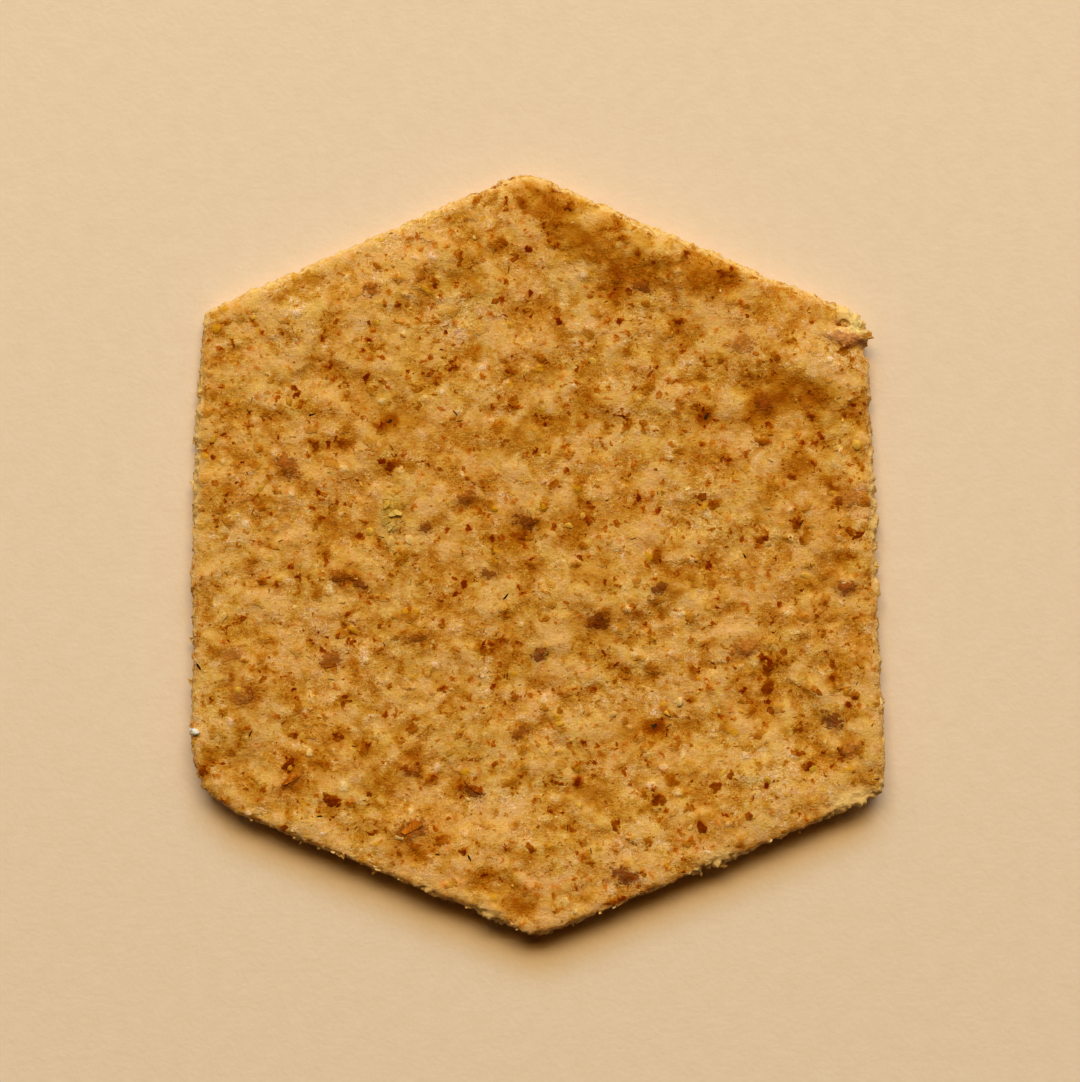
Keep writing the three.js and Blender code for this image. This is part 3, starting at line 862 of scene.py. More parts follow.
def bran_browning(w, noises, fleck, broken, blotch):
    """Blotches under a veil of paste, and flecks of three sizes."""
    bran = w.math("MULTIPLY", blotch, w.fade(noises["dust"], **VEIL))
    mottled = w.math("ADD", noises["fibre"], noises["dust"])
    mottled = w.math("MULTIPLY_ADD", mottled, MOTTLING, 1.0)
    bits = w.math("MULTIPLY_ADD", noises["rough"], BITS_FRAY, fleck["Bits"])
    draws = {
        "Bran": (broken, attribute(w, "bran_tint"), attribute(w, "bran_bared")),
        "Bits": (bits, fleck["Bits Tint"], fleck["Bits Bared"]),
        "Specks": (fleck["Specks"], fleck["Specks Tint"], fleck["Specks Bared"]),
    }
    for kind, layer in BRAN_LAYERS.items():
        bran = w.math("ADD", bran, fleck_browning(w, *draws[kind], mottled, **layer))
    return bran


def open_skin(w, rim):
    """How much bran shows: most on the shaded sides of lumps, as painted shade, and in smudges; least at the
    bare rim.
    """
    share = w.math("MULTIPLY_ADD", rim, CLOSED_AT_RIM, 1.0)
    share = w.math("MULTIPLY", share, w.fade(attribute(w, "smudge"), **OPEN_BY_SMUDGE))
    return w.math("MULTIPLY", share, by_lit_crest(w, **OPEN_BY_LIT_CREST))


print("layers of bran:", ", ".join(BRAN_LAYERS))

# %% [markdown]
# Browning alone would make every brown alike. On the real cracker some browns lean to honey and others to
# chestnut, and fine bran leaves rusty smears. These tints multiply the colour, so that the browning still
# shows through them. Bare crumb and the listed flakes have colours of their own, which are mixed in over
# it.

# %% Tints over the browning
HONEY = (1.0, 1.01, 0.82, 1.0)
CHESTNUT = (1.0, 0.99, 1.10, 1.0)
STRAW = (0.985, 1.01, 0.99, 1.0)
PEACH = (1.015, 0.98, 0.97, 1.0)
RUST = (1.08, 0.91, 0.9, 1.0)
RUST_SMEAR = (0.94, 0.72, 0.56, 1.0)
DUSKY_SMEAR = (0.88, 0.75, 0.74, 1.0)
LEAN_SPAN = (0.38, 0.62)
DUSKY_SPAN = (0.44, 0.56)
SMEAR_COVER = 0.8
SMEAR_AT_RIM = -0.7
RUSTY_DRAWS = (0.4, 0.6)
RUSTY_SLOPE = (1.6, 0.8)
RUSTY_BLOTCH = 0.7
BARE_CRUMB = srgb(236, 194, 116)
BARE_SPAN = (0.40, 0.60)
BARE_WHERE_TORN = 0.3
CUT_SPAN = (0.1, 0.8)
CUT_WHERE_TORN = 0.8
BARE_COVER = 0.75
STAIN_COVER = 0.25
STAIN_SLOPE = (2.0, 0.8)
FLAKE_COVER = 0.85
FLAKE_SLOPE = (1.05, 0.70)
STREAK_SPAN = (0.3, 0.8)
FLAKE_FRAY = 3.4
PALEST_STREAK = 1.4
DARKEST_STREAK = 0.7


def tinted(w, colour, noises, fleck, rim, blotch):
    """Honey or chestnut, straw or peach, rusty smears, and rust on some of the flecks."""
    lean = w.mixed(w.fade(attribute(w, "hue"), *LEAN_SPAN), HONEY, CHESTNUT)
    colour = w.mixed(1.0, colour, lean, "MULTIPLY")
    blush = w.mixed(w.fade(attribute(w, "blush"), *LEAN_SPAN), STRAW, PEACH)
    colour = w.mixed(1.0, colour, blush, "MULTIPLY")
    smeared = w.mixed(w.fade(attribute(w, "hue"), *DUSKY_SPAN), RUST_SMEAR, DUSKY_SMEAR)
    cover = w.math("MULTIPLY_ADD", rim, SMEAR_AT_RIM, SMEAR_COVER)
    smear = w.math("MULTIPLY", noises["smear"], cover)
    colour = w.mixed(smear, colour, smeared, "MULTIPLY")
    rusty = w.fade(fleck["Bits Tint"], *RUSTY_DRAWS, 0.0, w.fade(fleck["Bits"], *RUSTY_SLOPE))
    rusty = w.math("MAXIMUM", rusty, w.math("MULTIPLY", blotch, RUSTY_BLOTCH))
    return w.mixed(rusty, colour, RUST, "MULTIPLY")


def with_bare_crumb(w, colour, fine):
    """Bare crumb on the cut edge, most of it where the edge is torn."""
    torn = attribute(w, "torn")
    bare = w.fade(w.math("MULTIPLY_ADD", torn, BARE_WHERE_TORN, fine), *BARE_SPAN)
    cut = w.math("MULTIPLY_ADD", torn, CUT_WHERE_TORN, attribute(w, "cut_edge"))
    bare = w.math("MULTIPLY", bare, w.fade(cut, *CUT_SPAN))
    return w.mixed(w.math("MULTIPLY", bare, BARE_COVER), colour, BARE_CRUMB)


def with_flakes(w, colour, noises):
    """The listed flakes, streaked and frayed, each in a soft stain, and the mask that they fill."""
    reach = attribute(w, "flake_reach")
    own = attribute(w, "flake_colour", "Vector")
    colour = w.mixed(w.fade(reach, *STAIN_SLOPE, 0.0, STAIN_COVER), colour, own)
    flake = w.fade(w.math("MULTIPLY_ADD", noises["rough"], FLAKE_FRAY, reach), *FLAKE_SLOPE)
    streaks = w.math("ADD", noises["fibre"], attribute(w, "blotch"))
    streaked = w.scaled(own, w.fade(streaks, *STREAK_SPAN, DARKEST_STREAK, PALEST_STREAK))
    return w.mixed(w.math("MULTIPLY", flake, FLAKE_COVER), colour, streaked), flake


print("tints: honey, chestnut, straw, peach and rust")

# %% [markdown]
# The material puts these layers together in one Principled shader. What is finer than the mesh becomes a
# bump of a few hundredths of a millimetre. Dry dough has little gloss, and what it has is tinted gold,
# because the light passes through the uppermost grains before it comes back.

# %% The baked dough
GRIT_GOLD = srgb(206, 141, 16)
GRIT_SHARE = 0.45
GRIT_COVER = 0.85
SCRAP_BROWNING = -0.36
SCRAP_SLOPE = (1.0, 0.6)
BRAN_FRAY = 2.2
BRAN_LIFT = (1.1, 0.8)
BLOTCH_FRAY = 0.35
BLOTCH_SPAN = (0.63, 0.71)
HUSK_BLACK = srgb(40, 18, 4)
HUSK_COVER = 0.95
HUSK_DRAWS = (0.2, 1.0)
HUSK_SLOPE = (1.0, 0.7)
FINE_BUMP = {"in_shaded_hollow": 0.14, "on_lit_crest": 0.07}
BUMPS = {"fibre": 0.06, "blotch": 0.03, "bran": 0.05, "flake": 0.05}
PASTE_ROUGHNESS = 0.65
HULL_ROUGHNESS = 0.52
DOUGH_GLOSS = 0.16
DOUGH_SHEEN = srgb(255, 185, 50)


def dough_material():
    """The finish of the sheet: browning, tints, flakes, bump and gloss."""
    material, w, shader = fresh_material("baked_dough")
    place = attribute(w, "dough_place", "Vector")
    fleck = w.node("ShaderNodeGroup", {"Place": place}, node_tree=GRAIN_IN_COLOUR).outputs
    noises = fine_noises(w, place)
    rim = w.math("MINIMUM", attribute(w, "bare_rim"), 1.0)
    blotch = w.math("MULTIPLY_ADD", noises["rough"], BLOTCH_FRAY, attribute(w, "blotch"))
    blotch = w.fade(blotch, *BLOTCH_SPAN)
    broken = w.math("MULTIPLY_ADD", noises["rough"], BRAN_FRAY, attribute(w, "bran_reach"))

    # The browning of paste, bran and pale scraps becomes one colour
    bran = bran_browning(w, noises, fleck, broken, blotch)
    brown = w.math("MULTIPLY_ADD", bran, open_skin(w, rim), paste_browning(w, noises))
    scrap = w.fade(w.math("ADD", noises["rough"], attribute(w, "scraps_reach")), *SCRAP_SLOPE)
    is_grit = w.math("LESS_THAN", attribute(w, "scraps_tint"), GRIT_SHARE)
    pale_scrap = w.math("MULTIPLY", scrap, w.math("SUBTRACT", 1.0, is_grit))
    brown = w.math("MULTIPLY_ADD", pale_scrap, SCRAP_BROWNING, brown)
    share = w.math("MULTIPLY_ADD", brown, 1 / (BROWNEST - PALEST), -PALEST / (BROWNEST - PALEST))
    colour = tinted(w, w.ramp(share, browning_stops()), noises, fleck, rim, blotch)

    # Yellow grits, bare crumb, the listed flakes and black slivers are mixed in over it
    grit = w.math("MULTIPLY", w.math("MULTIPLY", scrap, is_grit), GRIT_COVER)
    colour = w.mixed(grit, colour, GRIT_GOLD)
    colour = with_bare_crumb(w, colour, noises["fine"])
    colour, flake = with_flakes(w, colour, noises)
    bared = w.fade(fleck["Slivers Bared"], *HUSK_DRAWS, 0.0, HUSK_COVER)
    colour = w.mixed(w.fade(fleck["Slivers"], *HUSK_SLOPE, 0.0, bared), colour, HUSK_BLACK)
    w.feed(shader.inputs["Base Color"], colour)

    # Bump, in mm, and gloss, which the hulls of bran have a little more of
    lifted = w.fade(broken, *BRAN_LIFT)
    layers = {"fibre": noises["fibre"], "blotch": blotch, "bran": lifted, "flake": flake}
    height = w.math("MULTIPLY", noises["fine"], by_lit_crest(w, **FINE_BUMP))
    for layer, tall in BUMPS.items():
        height = w.math("MULTIPLY_ADD", layers[layer], tall, height)
    bump = w.node("ShaderNodeBump", {"Height": height, "Distance": MM, "Strength": 1.0})
    w.feed(shader.inputs["Normal"], bump.outputs[0])
    hull = w.math("MAXIMUM", flake, lifted)
    w.feed(shader.inputs["Roughness"], w.fade(hull, 0.0, 1.0, PASTE_ROUGHNESS, HULL_ROUGHNESS))
    shader.inputs["Specular IOR Level"].default_value = DOUGH_GLOSS
    shader.inputs["Specular Tint"].default_value = DOUGH_SHEEN
    return material


sheet.data.materials.append(dough_material())
print("dough material:", len(sheet.data.materials[0].node_tree.nodes), "nodes")

# %% [markdown]
# What stands proud of the dough is made of real pieces, so that it catches the light and throws small
# shadows: bran flakes, rounded grits and flour crumbs, black slivers of husk, pale threads of flour and the
# crumbs along the cut edge. One Geometry Nodes recipe lays them all, from two small shapes, a flat chip and
# a rounded bead. Each has only a few faces, because hundreds of them are laid.

# %% Small shapes
BEAD_RINGS = 5


def chip_shape(w, given):
    """A flat chip, one unit long, wide and thick, whose two ends curl up."""
    inputs = {"Vertices": given["Corners"], "Radius": 0.5, "Depth": 1.0, "Fill Segments": 2}
    chip = w.node("GeometryNodeMeshCylinder", inputs, fill_type="TRIANGLE_FAN").outputs["Mesh"]
    along = w.parts(w.node("GeometryNodeInputPosition").outputs[0])[0]
    rise = w.math("MULTIPLY", w.math("MULTIPLY", along, along), w.math("MULTIPLY", given["Curl"], 4.0))
    return w.node("GeometryNodeSetPosition", {0: chip, "Offset": w.joined(0.0, 0.0, rise)}).outputs[0]


def bead_shape(w, given):
    """A rounded grain, one unit across."""
    inputs = {"Segments": given["Corners"], "Rings": BEAD_RINGS, "Radius": 0.5}
    return w.node("GeometryNodeMeshUVSphere", inputs).outputs["Mesh"]


print("shapes: chip and bead")

# %% [markdown]
# Next the recipe needs to know where the pieces lie. Most kinds are strewn from a fixed seed over the faces
# that look the right way. The others are listed, and drop straight down on to the sheet. Either way each
# point carries a turn, a size and a colour.

# %% Where the pieces lie
DROP_FROM = (0.0, 0.0, 10 * MM)
DOWN_ON = (0.0, 0.0, -1.0)
LOOK_AHEAD = 1.0
MOST_ARE_SHORT = 2.0


def drawn(w, seed, low=0.0, high=1.0):
    """A random number for each point, the same at every run."""
    node = w.node("FunctionNodeRandomValue", {2: low, 3: high, 8: seed}, data_type="FLOAT")
    return node.outputs[1]


def spun(w, rotation, turn):
    """A rotation followed by turns about the piece's own axes."""
    node = w.node("FunctionNodeRotateRotation", {0: rotation, 1: turn}, rotation_space="LOCAL")
    return node.outputs[0]


def strewn_over(sheet, tints):
    """Points strewn over the faces that look the right way, with their turns, sizes and colours."""

    def places(w, given):
        skin = w.node("GeometryNodeObjectInfo", {"Object": sheet}).outputs["Geometry"]
        facing = w.parts(w.node("GeometryNodeInputNormal").outputs[0])
        above = w.math("GREATER_THAN", facing[2], given["Facing Up From"])
        below = w.math("LESS_THAN", facing[2], given["Facing Up To"])
        front = w.math("LESS_THAN", facing[1], given["Facing Back To"])
        chosen = w.math("MULTIPLY", w.math("MULTIPLY", above, below), front)
        density = w.math("MULTIPLY", given["Per Square mm"], 1 / MM**2)
        inputs = {"Mesh": skin, "Selection": chosen, "Density": density, "Seed": given["Seed"]}
        spread = w.node("GeometryNodeDistributePointsOnFaces", inputs, distribute_method="RANDOM").outputs
        tilt = w.math("RADIANS", given["Tilt"])
        back = w.math("MULTIPLY", tilt, -1.0)
        turn = w.joined(drawn(w, 1, back, tilt), drawn(w, 2, back, tilt), drawn(w, 3, 0.0, 2 * math.pi))
        long = w.math("POWER", drawn(w, 4), MOST_ARE_SHORT)
        length = w.fade(long, 0.0, 1.0, given["Shortest"], given["Longest"])
        width = w.math("MULTIPLY", length, drawn(w, 5, given["Narrowest"], given["Widest"]))
        size = w.scaled(w.joined(length, width, given["Thickness"]), MM)
        colour = w.ramp(drawn(w, 6), tints)
        level = w.joined(0.0, 0.0, given["Level"])
        way_up = w.vector("ADD", spread["Normal"], level)
        flat = w.node("FunctionNodeAlignRotationToVector", {"Vector": way_up}, axis="Z").outputs[0]
        return spread["Points"], spread["Normal"], spun(w, flat, turn), size, colour

    return places


def listed_on(sheet, helper):
    """A helper's points dropped on to the sheet, with the turns, sizes and colours that they carry."""

    def places(w, given):
        skin = w.node("GeometryNodeObjectInfo", {"Object": sheet}).outputs["Geometry"]
        points = w.node("GeometryNodeObjectInfo", {"Object": helper}).outputs["Geometry"]
        here = w.scaled(w.node("GeometryNodeInputPosition").outputs[0], MM)
        start = w.vector("ADD", here, DROP_FROM)
        inputs = {"Target Geometry": skin, "Source Position": start}
        inputs |= {"Ray Direction": DOWN_ON, "Ray Length": LOOK_AHEAD}
        ray = w.node("GeometryNodeRaycast", inputs).outputs
        points = stored(w, points, "way_up", ray["Hit Normal"], "FLOAT_VECTOR")
        points = w.node("GeometryNodeSetPosition", {0: points, "Position": ray["Hit Position"]}).outputs[0]
        way_up = named(w, "way_up")
        flat = w.node("FunctionNodeAlignRotationToVector", {"Vector": way_up}, axis="Z").outputs[0]
        carried = w.parts(named(w, "flake_sizes"))
        across = w.scaled(w.joined(carried[0], carried[1], 0.0), 2 * MM)
        size = w.vector("ADD", across, w.joined(0.0, 0.0, w.math("MULTIPLY", given["Thickness"], MM)))
        return points, way_up, spun(w, flat, w.joined(0.0, 0.0, carried[2])), size, named(w, "flake_colour")

    return places


print("places: strewn or listed")

# %% [markdown]
# Then the recipe sets the shape on every point, sinks it a little, and shakes its corners so that no two
# are alike. Realize Instances turns the copies into faces of their own, because the export drops instances.

# %% Setting the shapes on their places
SHAKE_SIZE = 0.26


def laid_pieces(w, given, shape, points, normal, turn, size, colour, material):
    """The shape set on every point, sunk a little, shaken and given its colour."""
    thick = w.math("MULTIPLY", given["Thickness"], MM)
    lift = w.math("MULTIPLY", thick, w.math("SUBTRACT", 0.5, given["Sunk"]))
    points = w.node("GeometryNodeSetPosition", {0: points, "Offset": w.scaled(normal, lift)}).outputs[0]
    inputs = {"Points": points, "Instance": shape, "Rotation": turn, "Scale": size}
    pieces = w.node("GeometryNodeInstanceOnPoints", inputs).outputs[0]
    inputs = {"Geometry": pieces, "Name": "own_colour", "Value": colour}
    node = w.node("GeometryNodeStoreNamedAttribute", inputs, data_type="FLOAT_VECTOR", domain="INSTANCE")
    pieces = w.node("GeometryNodeRealizeInstances", {0: node.outputs[0]}).outputs[0]
    place = w.node("GeometryNodeInputPosition").outputs[0]
    inputs = {"Vector": place, "Scale": 1 / (SHAKE_SIZE * MM), "Detail": 1.0}
    draw = w.node("ShaderNodeTexNoise", inputs).outputs[1]
    draw = w.vector("SUBTRACT", draw, (0.5, 0.5, 0.5))
    step = w.scaled(draw, w.math("MULTIPLY", given["Ragged"], 2 * MM))
    step = w.vector("MULTIPLY", step, w.joined(1.0, 1.0, given["Flutter"]))
    pieces = w.node("GeometryNodeSetPosition", {0: pieces, "Offset": step}).outputs[0]
    pieces = w.node("GeometryNodeSetShadeSmooth", {0: pieces, "Shade Smooth": given["Smooth"]}).outputs[0]
    return w.node("GeometryNodeSetMaterial", {0: pieces, "Material": material}).outputs[0]


def laid_piece(name, places, shape, material, values):
    """One object with every small piece of a kind, as a plain mesh."""
    tree = bpy.data.node_groups.new(name, "GeometryNodeTree")
    tree.interface.new_socket("Geometry", in_out="OUTPUT", socket_type="NodeSocketGeometry")
    kinds = {bool: "NodeSocketBool", int: "NodeSocketInt", float: "NodeSocketFloat"}
    for key, value in values.items():
        tree.interface.new_socket(key, in_out="INPUT", socket_type=kinds[type(value)])
    w = Wiring(tree)
    given = w.node("NodeGroupInput").outputs
    laid = laid_pieces(w, given, shape(w, given), *places(w, given), material)
    w.feed(w.node("NodeGroupOutput").inputs["Geometry"], laid)
    piece = bpy.data.objects.new(name, bpy.data.meshes.new(name))
    bpy.context.scene.collection.objects.link(piece)
    strew = piece.modifiers.new("strew", "NODES")
    strew.node_group = tree
    set_inputs(strew, values)
    return plain_mesh(piece)


print("corners are shaken about every", SHAKE_SIZE, "mm")

# %% [markdown]
# All the small pieces take their colour from an attribute that the tree stores on each of them. Their
# material adds streaks, as bran has, and a gloss of its own: grits shine most, and flour and husks are
# dull.

# %% Materials for the small pieces
STREAK_STRETCH = (5.0, 2.0, 4.0)
GRAIN_SHEEN = srgb(255, 214, 130)


def grain_material(name, roughness, gloss, streak):
    """Takes the piece's own colour and darkens it in streaks."""
    material, w, shader = fresh_material(name)
    place = w.scaled(w.node("ShaderNodeTexCoord").outputs["Object"], 1 / MM)
    lines = w.noise(w.vector("MULTIPLY", place, STREAK_STRETCH), size=1.0)
    darker = w.fade(lines, *NOISE_SPAN, 1.0 - streak, 1.0 + streak)
    colour = w.scaled(attribute(w, "own_colour", "Vector"), darker)
    w.feed(shader.inputs["Base Color"], colour)
    shader.inputs["Roughness"].default_value = roughness
    shader.inputs["Specular IOR Level"].default_value = gloss
    shader.inputs["Specular Tint"].default_value = GRAIN_SHEEN
    return material


LOOKS = {
    "bran_skin": {"roughness": 0.5, "gloss": 0.2, "streak": 0.3},
    "grit_skin": {"roughness": 0.35, "gloss": 0.4, "streak": 0.15},
    "crumb_skin": {"roughness": 0.8, "gloss": 0.1, "streak": 0.15},
    "husk_skin": {"roughness": 0.8, "gloss": 0.02, "streak": 0.3},
}
FINISHES = {name: grain_material(name, **look) for name, look in LOOKS.items()}
print("finishes:", ", ".join(FINISHES))

# %% [markdown]
# Six kinds of piece are strewn. Their sizes are in millimetres, their widths are shares of their lengths,
# and their numbers for each square millimetre were judged. Five kinds lie on the top. The rim crumbs stand
# out from the lower edges, where the cutter left them.

# %% Strew the pieces
BRAN_TINTS = [
    (0.1, browned(1.9)),
    (0.4, browned(1.4, 0.3)),
    (0.7, browned(1.1, 0.4)),
    (0.9, browned(0.8, 0.3)),
]
HUSK_TINTS = [(0.2, srgb(36, 16, 4)), (0.6, srgb(58, 30, 8)), (0.9, srgb(92, 48, 8))]
GRAIN_TINTS = [(0.1, srgb(188, 122, 22)), (0.4, srgb(204, 148, 36)), (0.9, srgb(212, 156, 54))]
FLOUR_TINTS = [(0.1, srgb(208, 154, 72)), (0.5, srgb(216, 166, 84)), (0.9, srgb(228, 186, 110))]
THREAD_TINTS = [(0.1, srgb(210, 156, 76)), (0.5, srgb(222, 176, 100)), (0.9, srgb(234, 198, 130))]
RIM_TINTS = [(0.1, srgb(206, 150, 70)), (0.5, srgb(218, 172, 94)), (0.9, srgb(234, 200, 130))]
TOP = {"Facing Up From": 0.8, "Facing Up To": 1.1, "Facing Back To": 1.1, "Level": 0.0, "Flutter": 0.2}
LOWER_RIM = {
    "Facing Up From": -0.2,
    "Facing Up To": 0.85,
    "Facing Back To": 0.1,
    "Level": 3.0,
    "Flutter": 0.6,
}
STREWN = {
    # piece: shape, finish, tints, inputs of its tree
    "bran_flakes": (chip_shape, "bran_skin", BRAN_TINTS, {
        **TOP, "Per Square mm": 0.03, "Seed": 3,
        "Shortest": 0.30, "Longest": 0.9, "Narrowest": 0.4, "Widest": 0.95, "Thickness": 0.03, "Sunk": 0.1,
        "Tilt": 6.0, "Corners": 5, "Curl": 0.0, "Ragged": 0.30, "Smooth": False,
    }),
    "grain_grits": (bead_shape, "grit_skin", GRAIN_TINTS, {
        **TOP, "Per Square mm": 0.03, "Seed": 11,
        "Shortest": 0.35, "Longest": 1.2, "Narrowest": 0.5, "Widest": 0.9, "Thickness": 0.30, "Sunk": 0.8,
        "Tilt": 12.0, "Corners": 8, "Curl": 0.0, "Ragged": 0.24, "Smooth": True,
    }),
    "flour_crumbs": (bead_shape, "crumb_skin", FLOUR_TINTS, {
        **TOP, "Per Square mm": 0.014, "Seed": 17,
        "Shortest": 0.4, "Longest": 1.3, "Narrowest": 0.4, "Widest": 0.9, "Thickness": 0.30, "Sunk": 0.82,
        "Tilt": 12.0, "Corners": 8, "Curl": 0.0, "Ragged": 0.36, "Smooth": True,
    }),
    "dark_husks": (chip_shape, "husk_skin", HUSK_TINTS, {
        **TOP, "Per Square mm": 0.014, "Seed": 23,
        "Shortest": 0.3, "Longest": 0.85, "Narrowest": 0.10, "Widest": 0.28, "Thickness": 0.06, "Sunk": 0.4,
        "Tilt": 8.0, "Corners": 6, "Curl": 0.4, "Ragged": 0.10, "Smooth": False,
    }),
    "flour_threads": (chip_shape, "crumb_skin", THREAD_TINTS, {
        **TOP, "Per Square mm": 0.015, "Seed": 31,
        "Shortest": 0.15, "Longest": 0.6, "Narrowest": 0.12, "Widest": 0.6, "Thickness": 0.03, "Sunk": 0.2,
        "Tilt": 10.0, "Corners": 5, "Curl": 0.2, "Ragged": 0.14, "Smooth": False,
    }),
    "rim_crumbs": (chip_shape, "crumb_skin", RIM_TINTS, {
        **LOWER_RIM, "Per Square mm": 0.6, "Seed": 47,
        "Shortest": 0.25, "Longest": 1.0, "Narrowest": 0.2, "Widest": 0.8, "Thickness": 0.12, "Sunk": 0.5,
        "Tilt": 25.0, "Corners": 4, "Curl": 0.0, "Ragged": 0.3, "Smooth": False,
    }),
}
pieces = []
for name, (shape, finish, tints, values) in STREWN.items():
    pieces.append(laid_piece(name, strewn_over(sheet, tints), shape, FINISHES[finish], values))
    print(name, len(pieces[-1].data.polygons), "faces")

# %% [markdown]
# The last pieces are laid by the same recipe, but at listed places: three flakes whose ends curl up, a
# cluster of three large grains, three dark specks and one white crumb that stuck to the left side.

# %% Lay the listed pieces
CURLED_FLAKES = [
    # across and up from the middle, length and width, turn in degrees, colour
    (-11.3, -24.6, 2.2, 0.8, 22, browned(1.0, 0.6)),
    (-22.2, -20.3, 1.6, 0.5, 32, browned(1.3, 0.4)),
    (-5.6, -21.2, 1.3, 0.4, -30, browned(1.8, 0.3)),
]
LARGE_GRAINS = [
    (-13.5, 4.5, 1.5, 1.1, 70, srgb(204, 154, 56)),
    (-12.9, 3.6, 1.2, 0.8, 20, srgb(210, 166, 76)),
    (-13.2, 2.4, 1.2, 0.9, 110, srgb(208, 164, 80)),
]
DARK_SPECKS = [
    (-13.4, 12.1, 0.6, 0.3, 20, srgb(66, 38, 14)),
    (15.4, 12.6, 0.7, 0.3, 60, srgb(60, 34, 14)),
    (10.6, -15.5, 0.6, 0.3, 10, srgb(66, 42, 18)),
]
STRAY_CRUMBS = [(-30.9, -16.0, 1.1, 0.6, 0, srgb(238, 226, 200))]
LISTED = {
    # piece: places, shape, finish, inputs of its tree
    "curled_flakes": (CURLED_FLAKES, chip_shape, "bran_skin", {
        "Thickness": 0.05, "Sunk": 0.0, "Corners": 12, "Curl": 2.0,
        "Ragged": 0.4, "Flutter": 0.3, "Smooth": False,
    }),
    "large_grains": (LARGE_GRAINS, bead_shape, "grit_skin", {
        "Thickness": 0.5, "Sunk": 0.6, "Corners": 10, "Curl": 0.0,
        "Ragged": 0.5, "Flutter": 0.6, "Smooth": False,
    }),
    "dark_specks": (DARK_SPECKS, chip_shape, "husk_skin", {
        "Thickness": 0.05, "Sunk": 0.3, "Corners": 8, "Curl": 0.3,
        "Ragged": 0.35, "Flutter": 0.2, "Smooth": False,
    }),
    "stray_crumb": (STRAY_CRUMBS, bead_shape, "crumb_skin", {
        "Thickness": 0.45, "Sunk": 0.2, "Corners": 10, "Curl": 0.0,
        "Ragged": 0.35, "Flutter": 1.0, "Smooth": True,
    }),
}
for name, (flakes, shape, finish, values) in LISTED.items():
    helper = flake_places(flakes)
    pieces.append(laid_piece(name, listed_on(sheet, helper), shape, FINISHES[finish], values))
    bpy.data.objects.remove(helper)
    print(name, len(pieces[-1].data.polygons), "faces")

# %% [markdown]
# The floor is a plain sheet of pale paper. A faint noise in its colour and its bump stands for the fibres,
# so that it doesn't look like plastic. It is large, so that its end isn't seen from low down.

# %% The paper floor
PAPER = srgb(236, 209, 174)
PAPER_SHADE = srgb(233, 205, 169)
PAPER_CLOUD = 1.6
PAPER_FIBRE = 0.5
PAPER_BUMP = 0.03 * MM
PAPER_ROUGHNESS = 0.9
PAPER_GLOSS = 0.2
FLOOR_SIDE = 12.0


def paper_floor():
    """A large plane of pale paper under the cracker."""
    bpy.ops.mesh.primitive_plane_add(size=FLOOR_SIDE)
    floor = bpy.context.object
    floor.name = "paper_floor"
    material, w, shader = fresh_material("pale_paper")
    place = w.scaled(w.node("ShaderNodeTexCoord").outputs["Object"], 1 / MM)
    cloud = w.noise(place, PAPER_CLOUD, detail=3.0)
    w.feed(shader.inputs["Base Color"], w.ramp(cloud, [(0.3, PAPER_SHADE), (0.7, PAPER)]))
    fibre = w.noise(place, PAPER_FIBRE, detail=3.0)
    bump = w.node("ShaderNodeBump", {"Height": fibre, "Distance": PAPER_BUMP})
    w.feed(shader.inputs["Normal"], bump.outputs[0])
    shader.inputs["Roughness"].default_value = PAPER_ROUGHNESS
    shader.inputs["Specular IOR Level"].default_value = PAPER_GLOSS
    floor.data.materials.append(material)
    return floor


floor = paper_floor()
print("floor:", FLOOR_SIDE, "m a side")

# %% [markdown]
# The light comes from soft panels on the side of the cracker's top corner, one above the other. The highest
# is amber and the lowest is blue. Close to the cracker its shadow sees little but the highest, so that it
# is brown there and turns to cream further out. Those two are kept out of reflections, where their tints
# would show. A faint glow all round stands for the room.

# %% Soft light
BOX = {"away": 1.5, "wide": 1.3, "high": 0.42}
PANEL = {"away": 1.6, "wide": 4.6, "high": 1.0}
LAMPS = {
    # rise above the horizon in degrees, watts, colour, and the panel's distance, width and height in metres
    "high_box": {"rise": 60, "watts": 7.1, "colour": (1.0, 0.47, 0.02), **BOX},
    "soft_box": {"rise": 52, "watts": 13.0, "colour": (0.96, 0.96, 0.74), **BOX},
    "low_box": {"rise": 34, "watts": 16.9, "colour": (0.21, 0.51, 1.0), **BOX},
    "wide_panel": {"rise": 40, "watts": 16.8, "colour": (0.97, 0.90, 0.66), **PANEL},
}
TINTED_LAMPS = ("high_box", "low_box")
GLOW = 0.0005
GLOW_COLOUR = (1.0, 0.72, 0.42, 1.0)


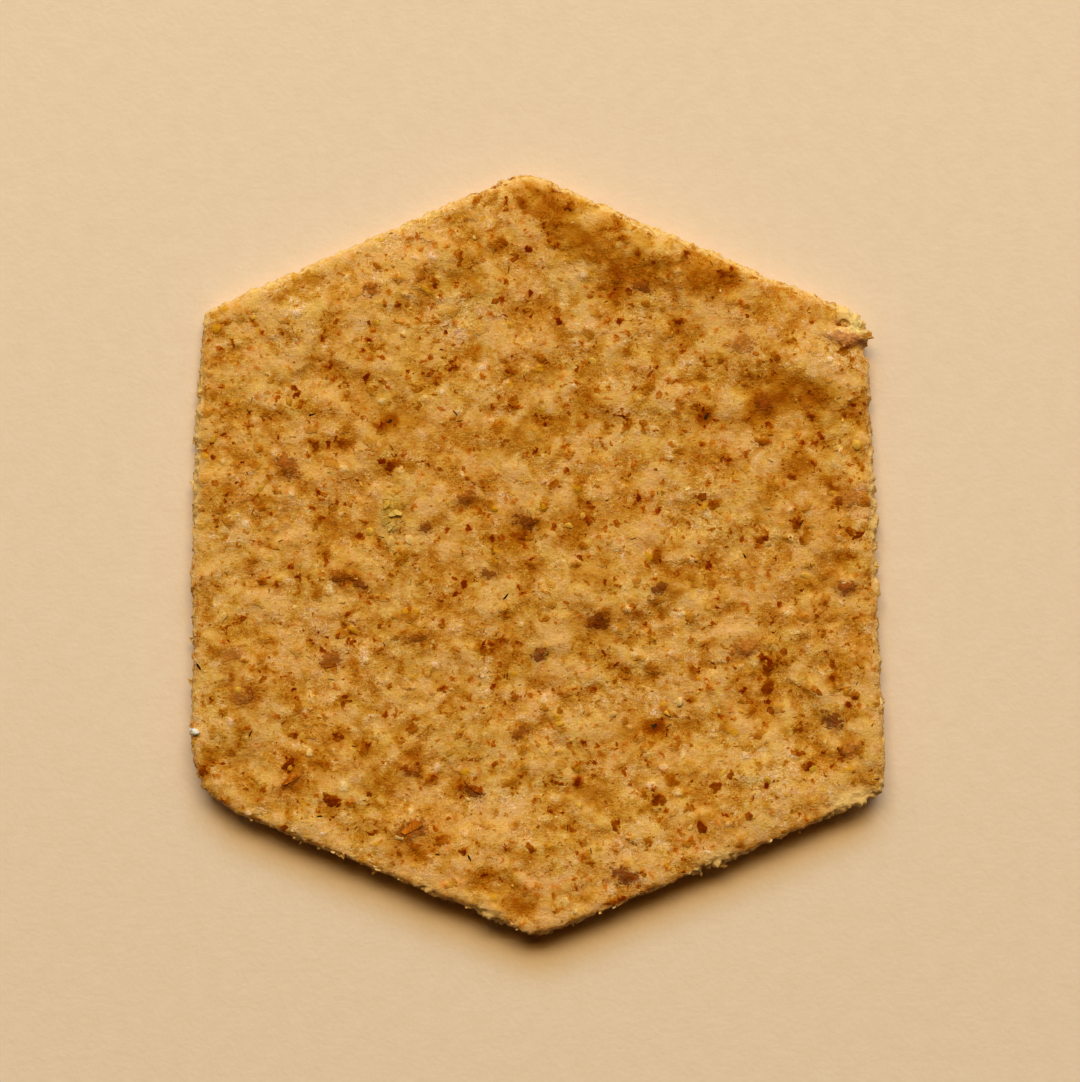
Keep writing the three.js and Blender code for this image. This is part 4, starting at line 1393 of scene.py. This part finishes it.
def lamp(name, rise, away, wide, high, watts, colour):
    """A soft panel on the cracker's top-corner side, facing the cracker."""
    light = bpy.data.lights.new(name, "AREA")
    light.shape = "RECTANGLE"
    light.size = wide
    light.size_y = high
    light.energy = watts
    light.color = colour
    piece = bpy.data.objects.new(name, light)
    piece.visible_glossy = name not in TINTED_LAMPS
    angle = math.radians(rise)
    piece.location = away * Vector((0.0, math.cos(angle), math.sin(angle)))
    piece.rotation_euler = (-piece.location).to_track_quat("-Z", "Y").to_euler()
    bpy.context.scene.collection.objects.link(piece)


def surrounding_glow():
    """A faint warm light from all round."""
    world = bpy.data.worlds.new("studio")
    world.use_nodes = True
    background = world.node_tree.nodes["Background"]
    background.inputs["Color"].default_value = GLOW_COLOUR
    background.inputs["Strength"].default_value = GLOW
    bpy.context.scene.world = world


for name, sizes in LAMPS.items():
    lamp(name, **sizes)
surrounding_glow()
print("lamps:", ", ".join(LAMPS))

# %% [markdown]
# The camera looks straight down, as the photograph does, with a long lens. Its place follows from where the
# middle of the outline lies in the frame and from how many pixels make a millimetre at the height of the
# rim.

# %% The camera
PHOTO_WIDE = 1080
PHOTO_HIGH = 1082
PIXELS_PER_MM = 11.0
MIDDLE_PIXEL = (537.2, 554.5)
LENS = 100.0
RIM_HEIGHT = 1.2 * MM
NEAREST_SEEN = 0.01


def overhead_camera():
    """A camera straight above, framed as the photograph is."""
    camera = bpy.data.cameras.new("overhead")
    camera.lens = LENS
    piece = bpy.data.objects.new("overhead", camera)
    across = (PHOTO_WIDE / 2 - MIDDLE_PIXEL[0]) / PIXELS_PER_MM
    up = (MIDDLE_PIXEL[1] - PHOTO_HIGH / 2) / PIXELS_PER_MM
    seen = max(PHOTO_WIDE, PHOTO_HIGH) / PIXELS_PER_MM
    away = seen * camera.lens / camera.sensor_width
    piece.location = (across * MM, up * MM, away * MM + RIM_HEIGHT)
    camera.clip_start = NEAREST_SEEN
    bpy.context.scene.collection.objects.link(piece)
    bpy.context.scene.camera = piece


overhead_camera()
bpy.context.scene.view_settings.view_transform = "Standard"
print("camera at", [round(c / MM, 1) for c in bpy.context.scene.camera.location], "mm")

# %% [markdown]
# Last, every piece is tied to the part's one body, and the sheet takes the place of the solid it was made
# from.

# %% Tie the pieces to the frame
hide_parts("cracker")
for piece in [sheet, *pieces]:
    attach(piece, "root")
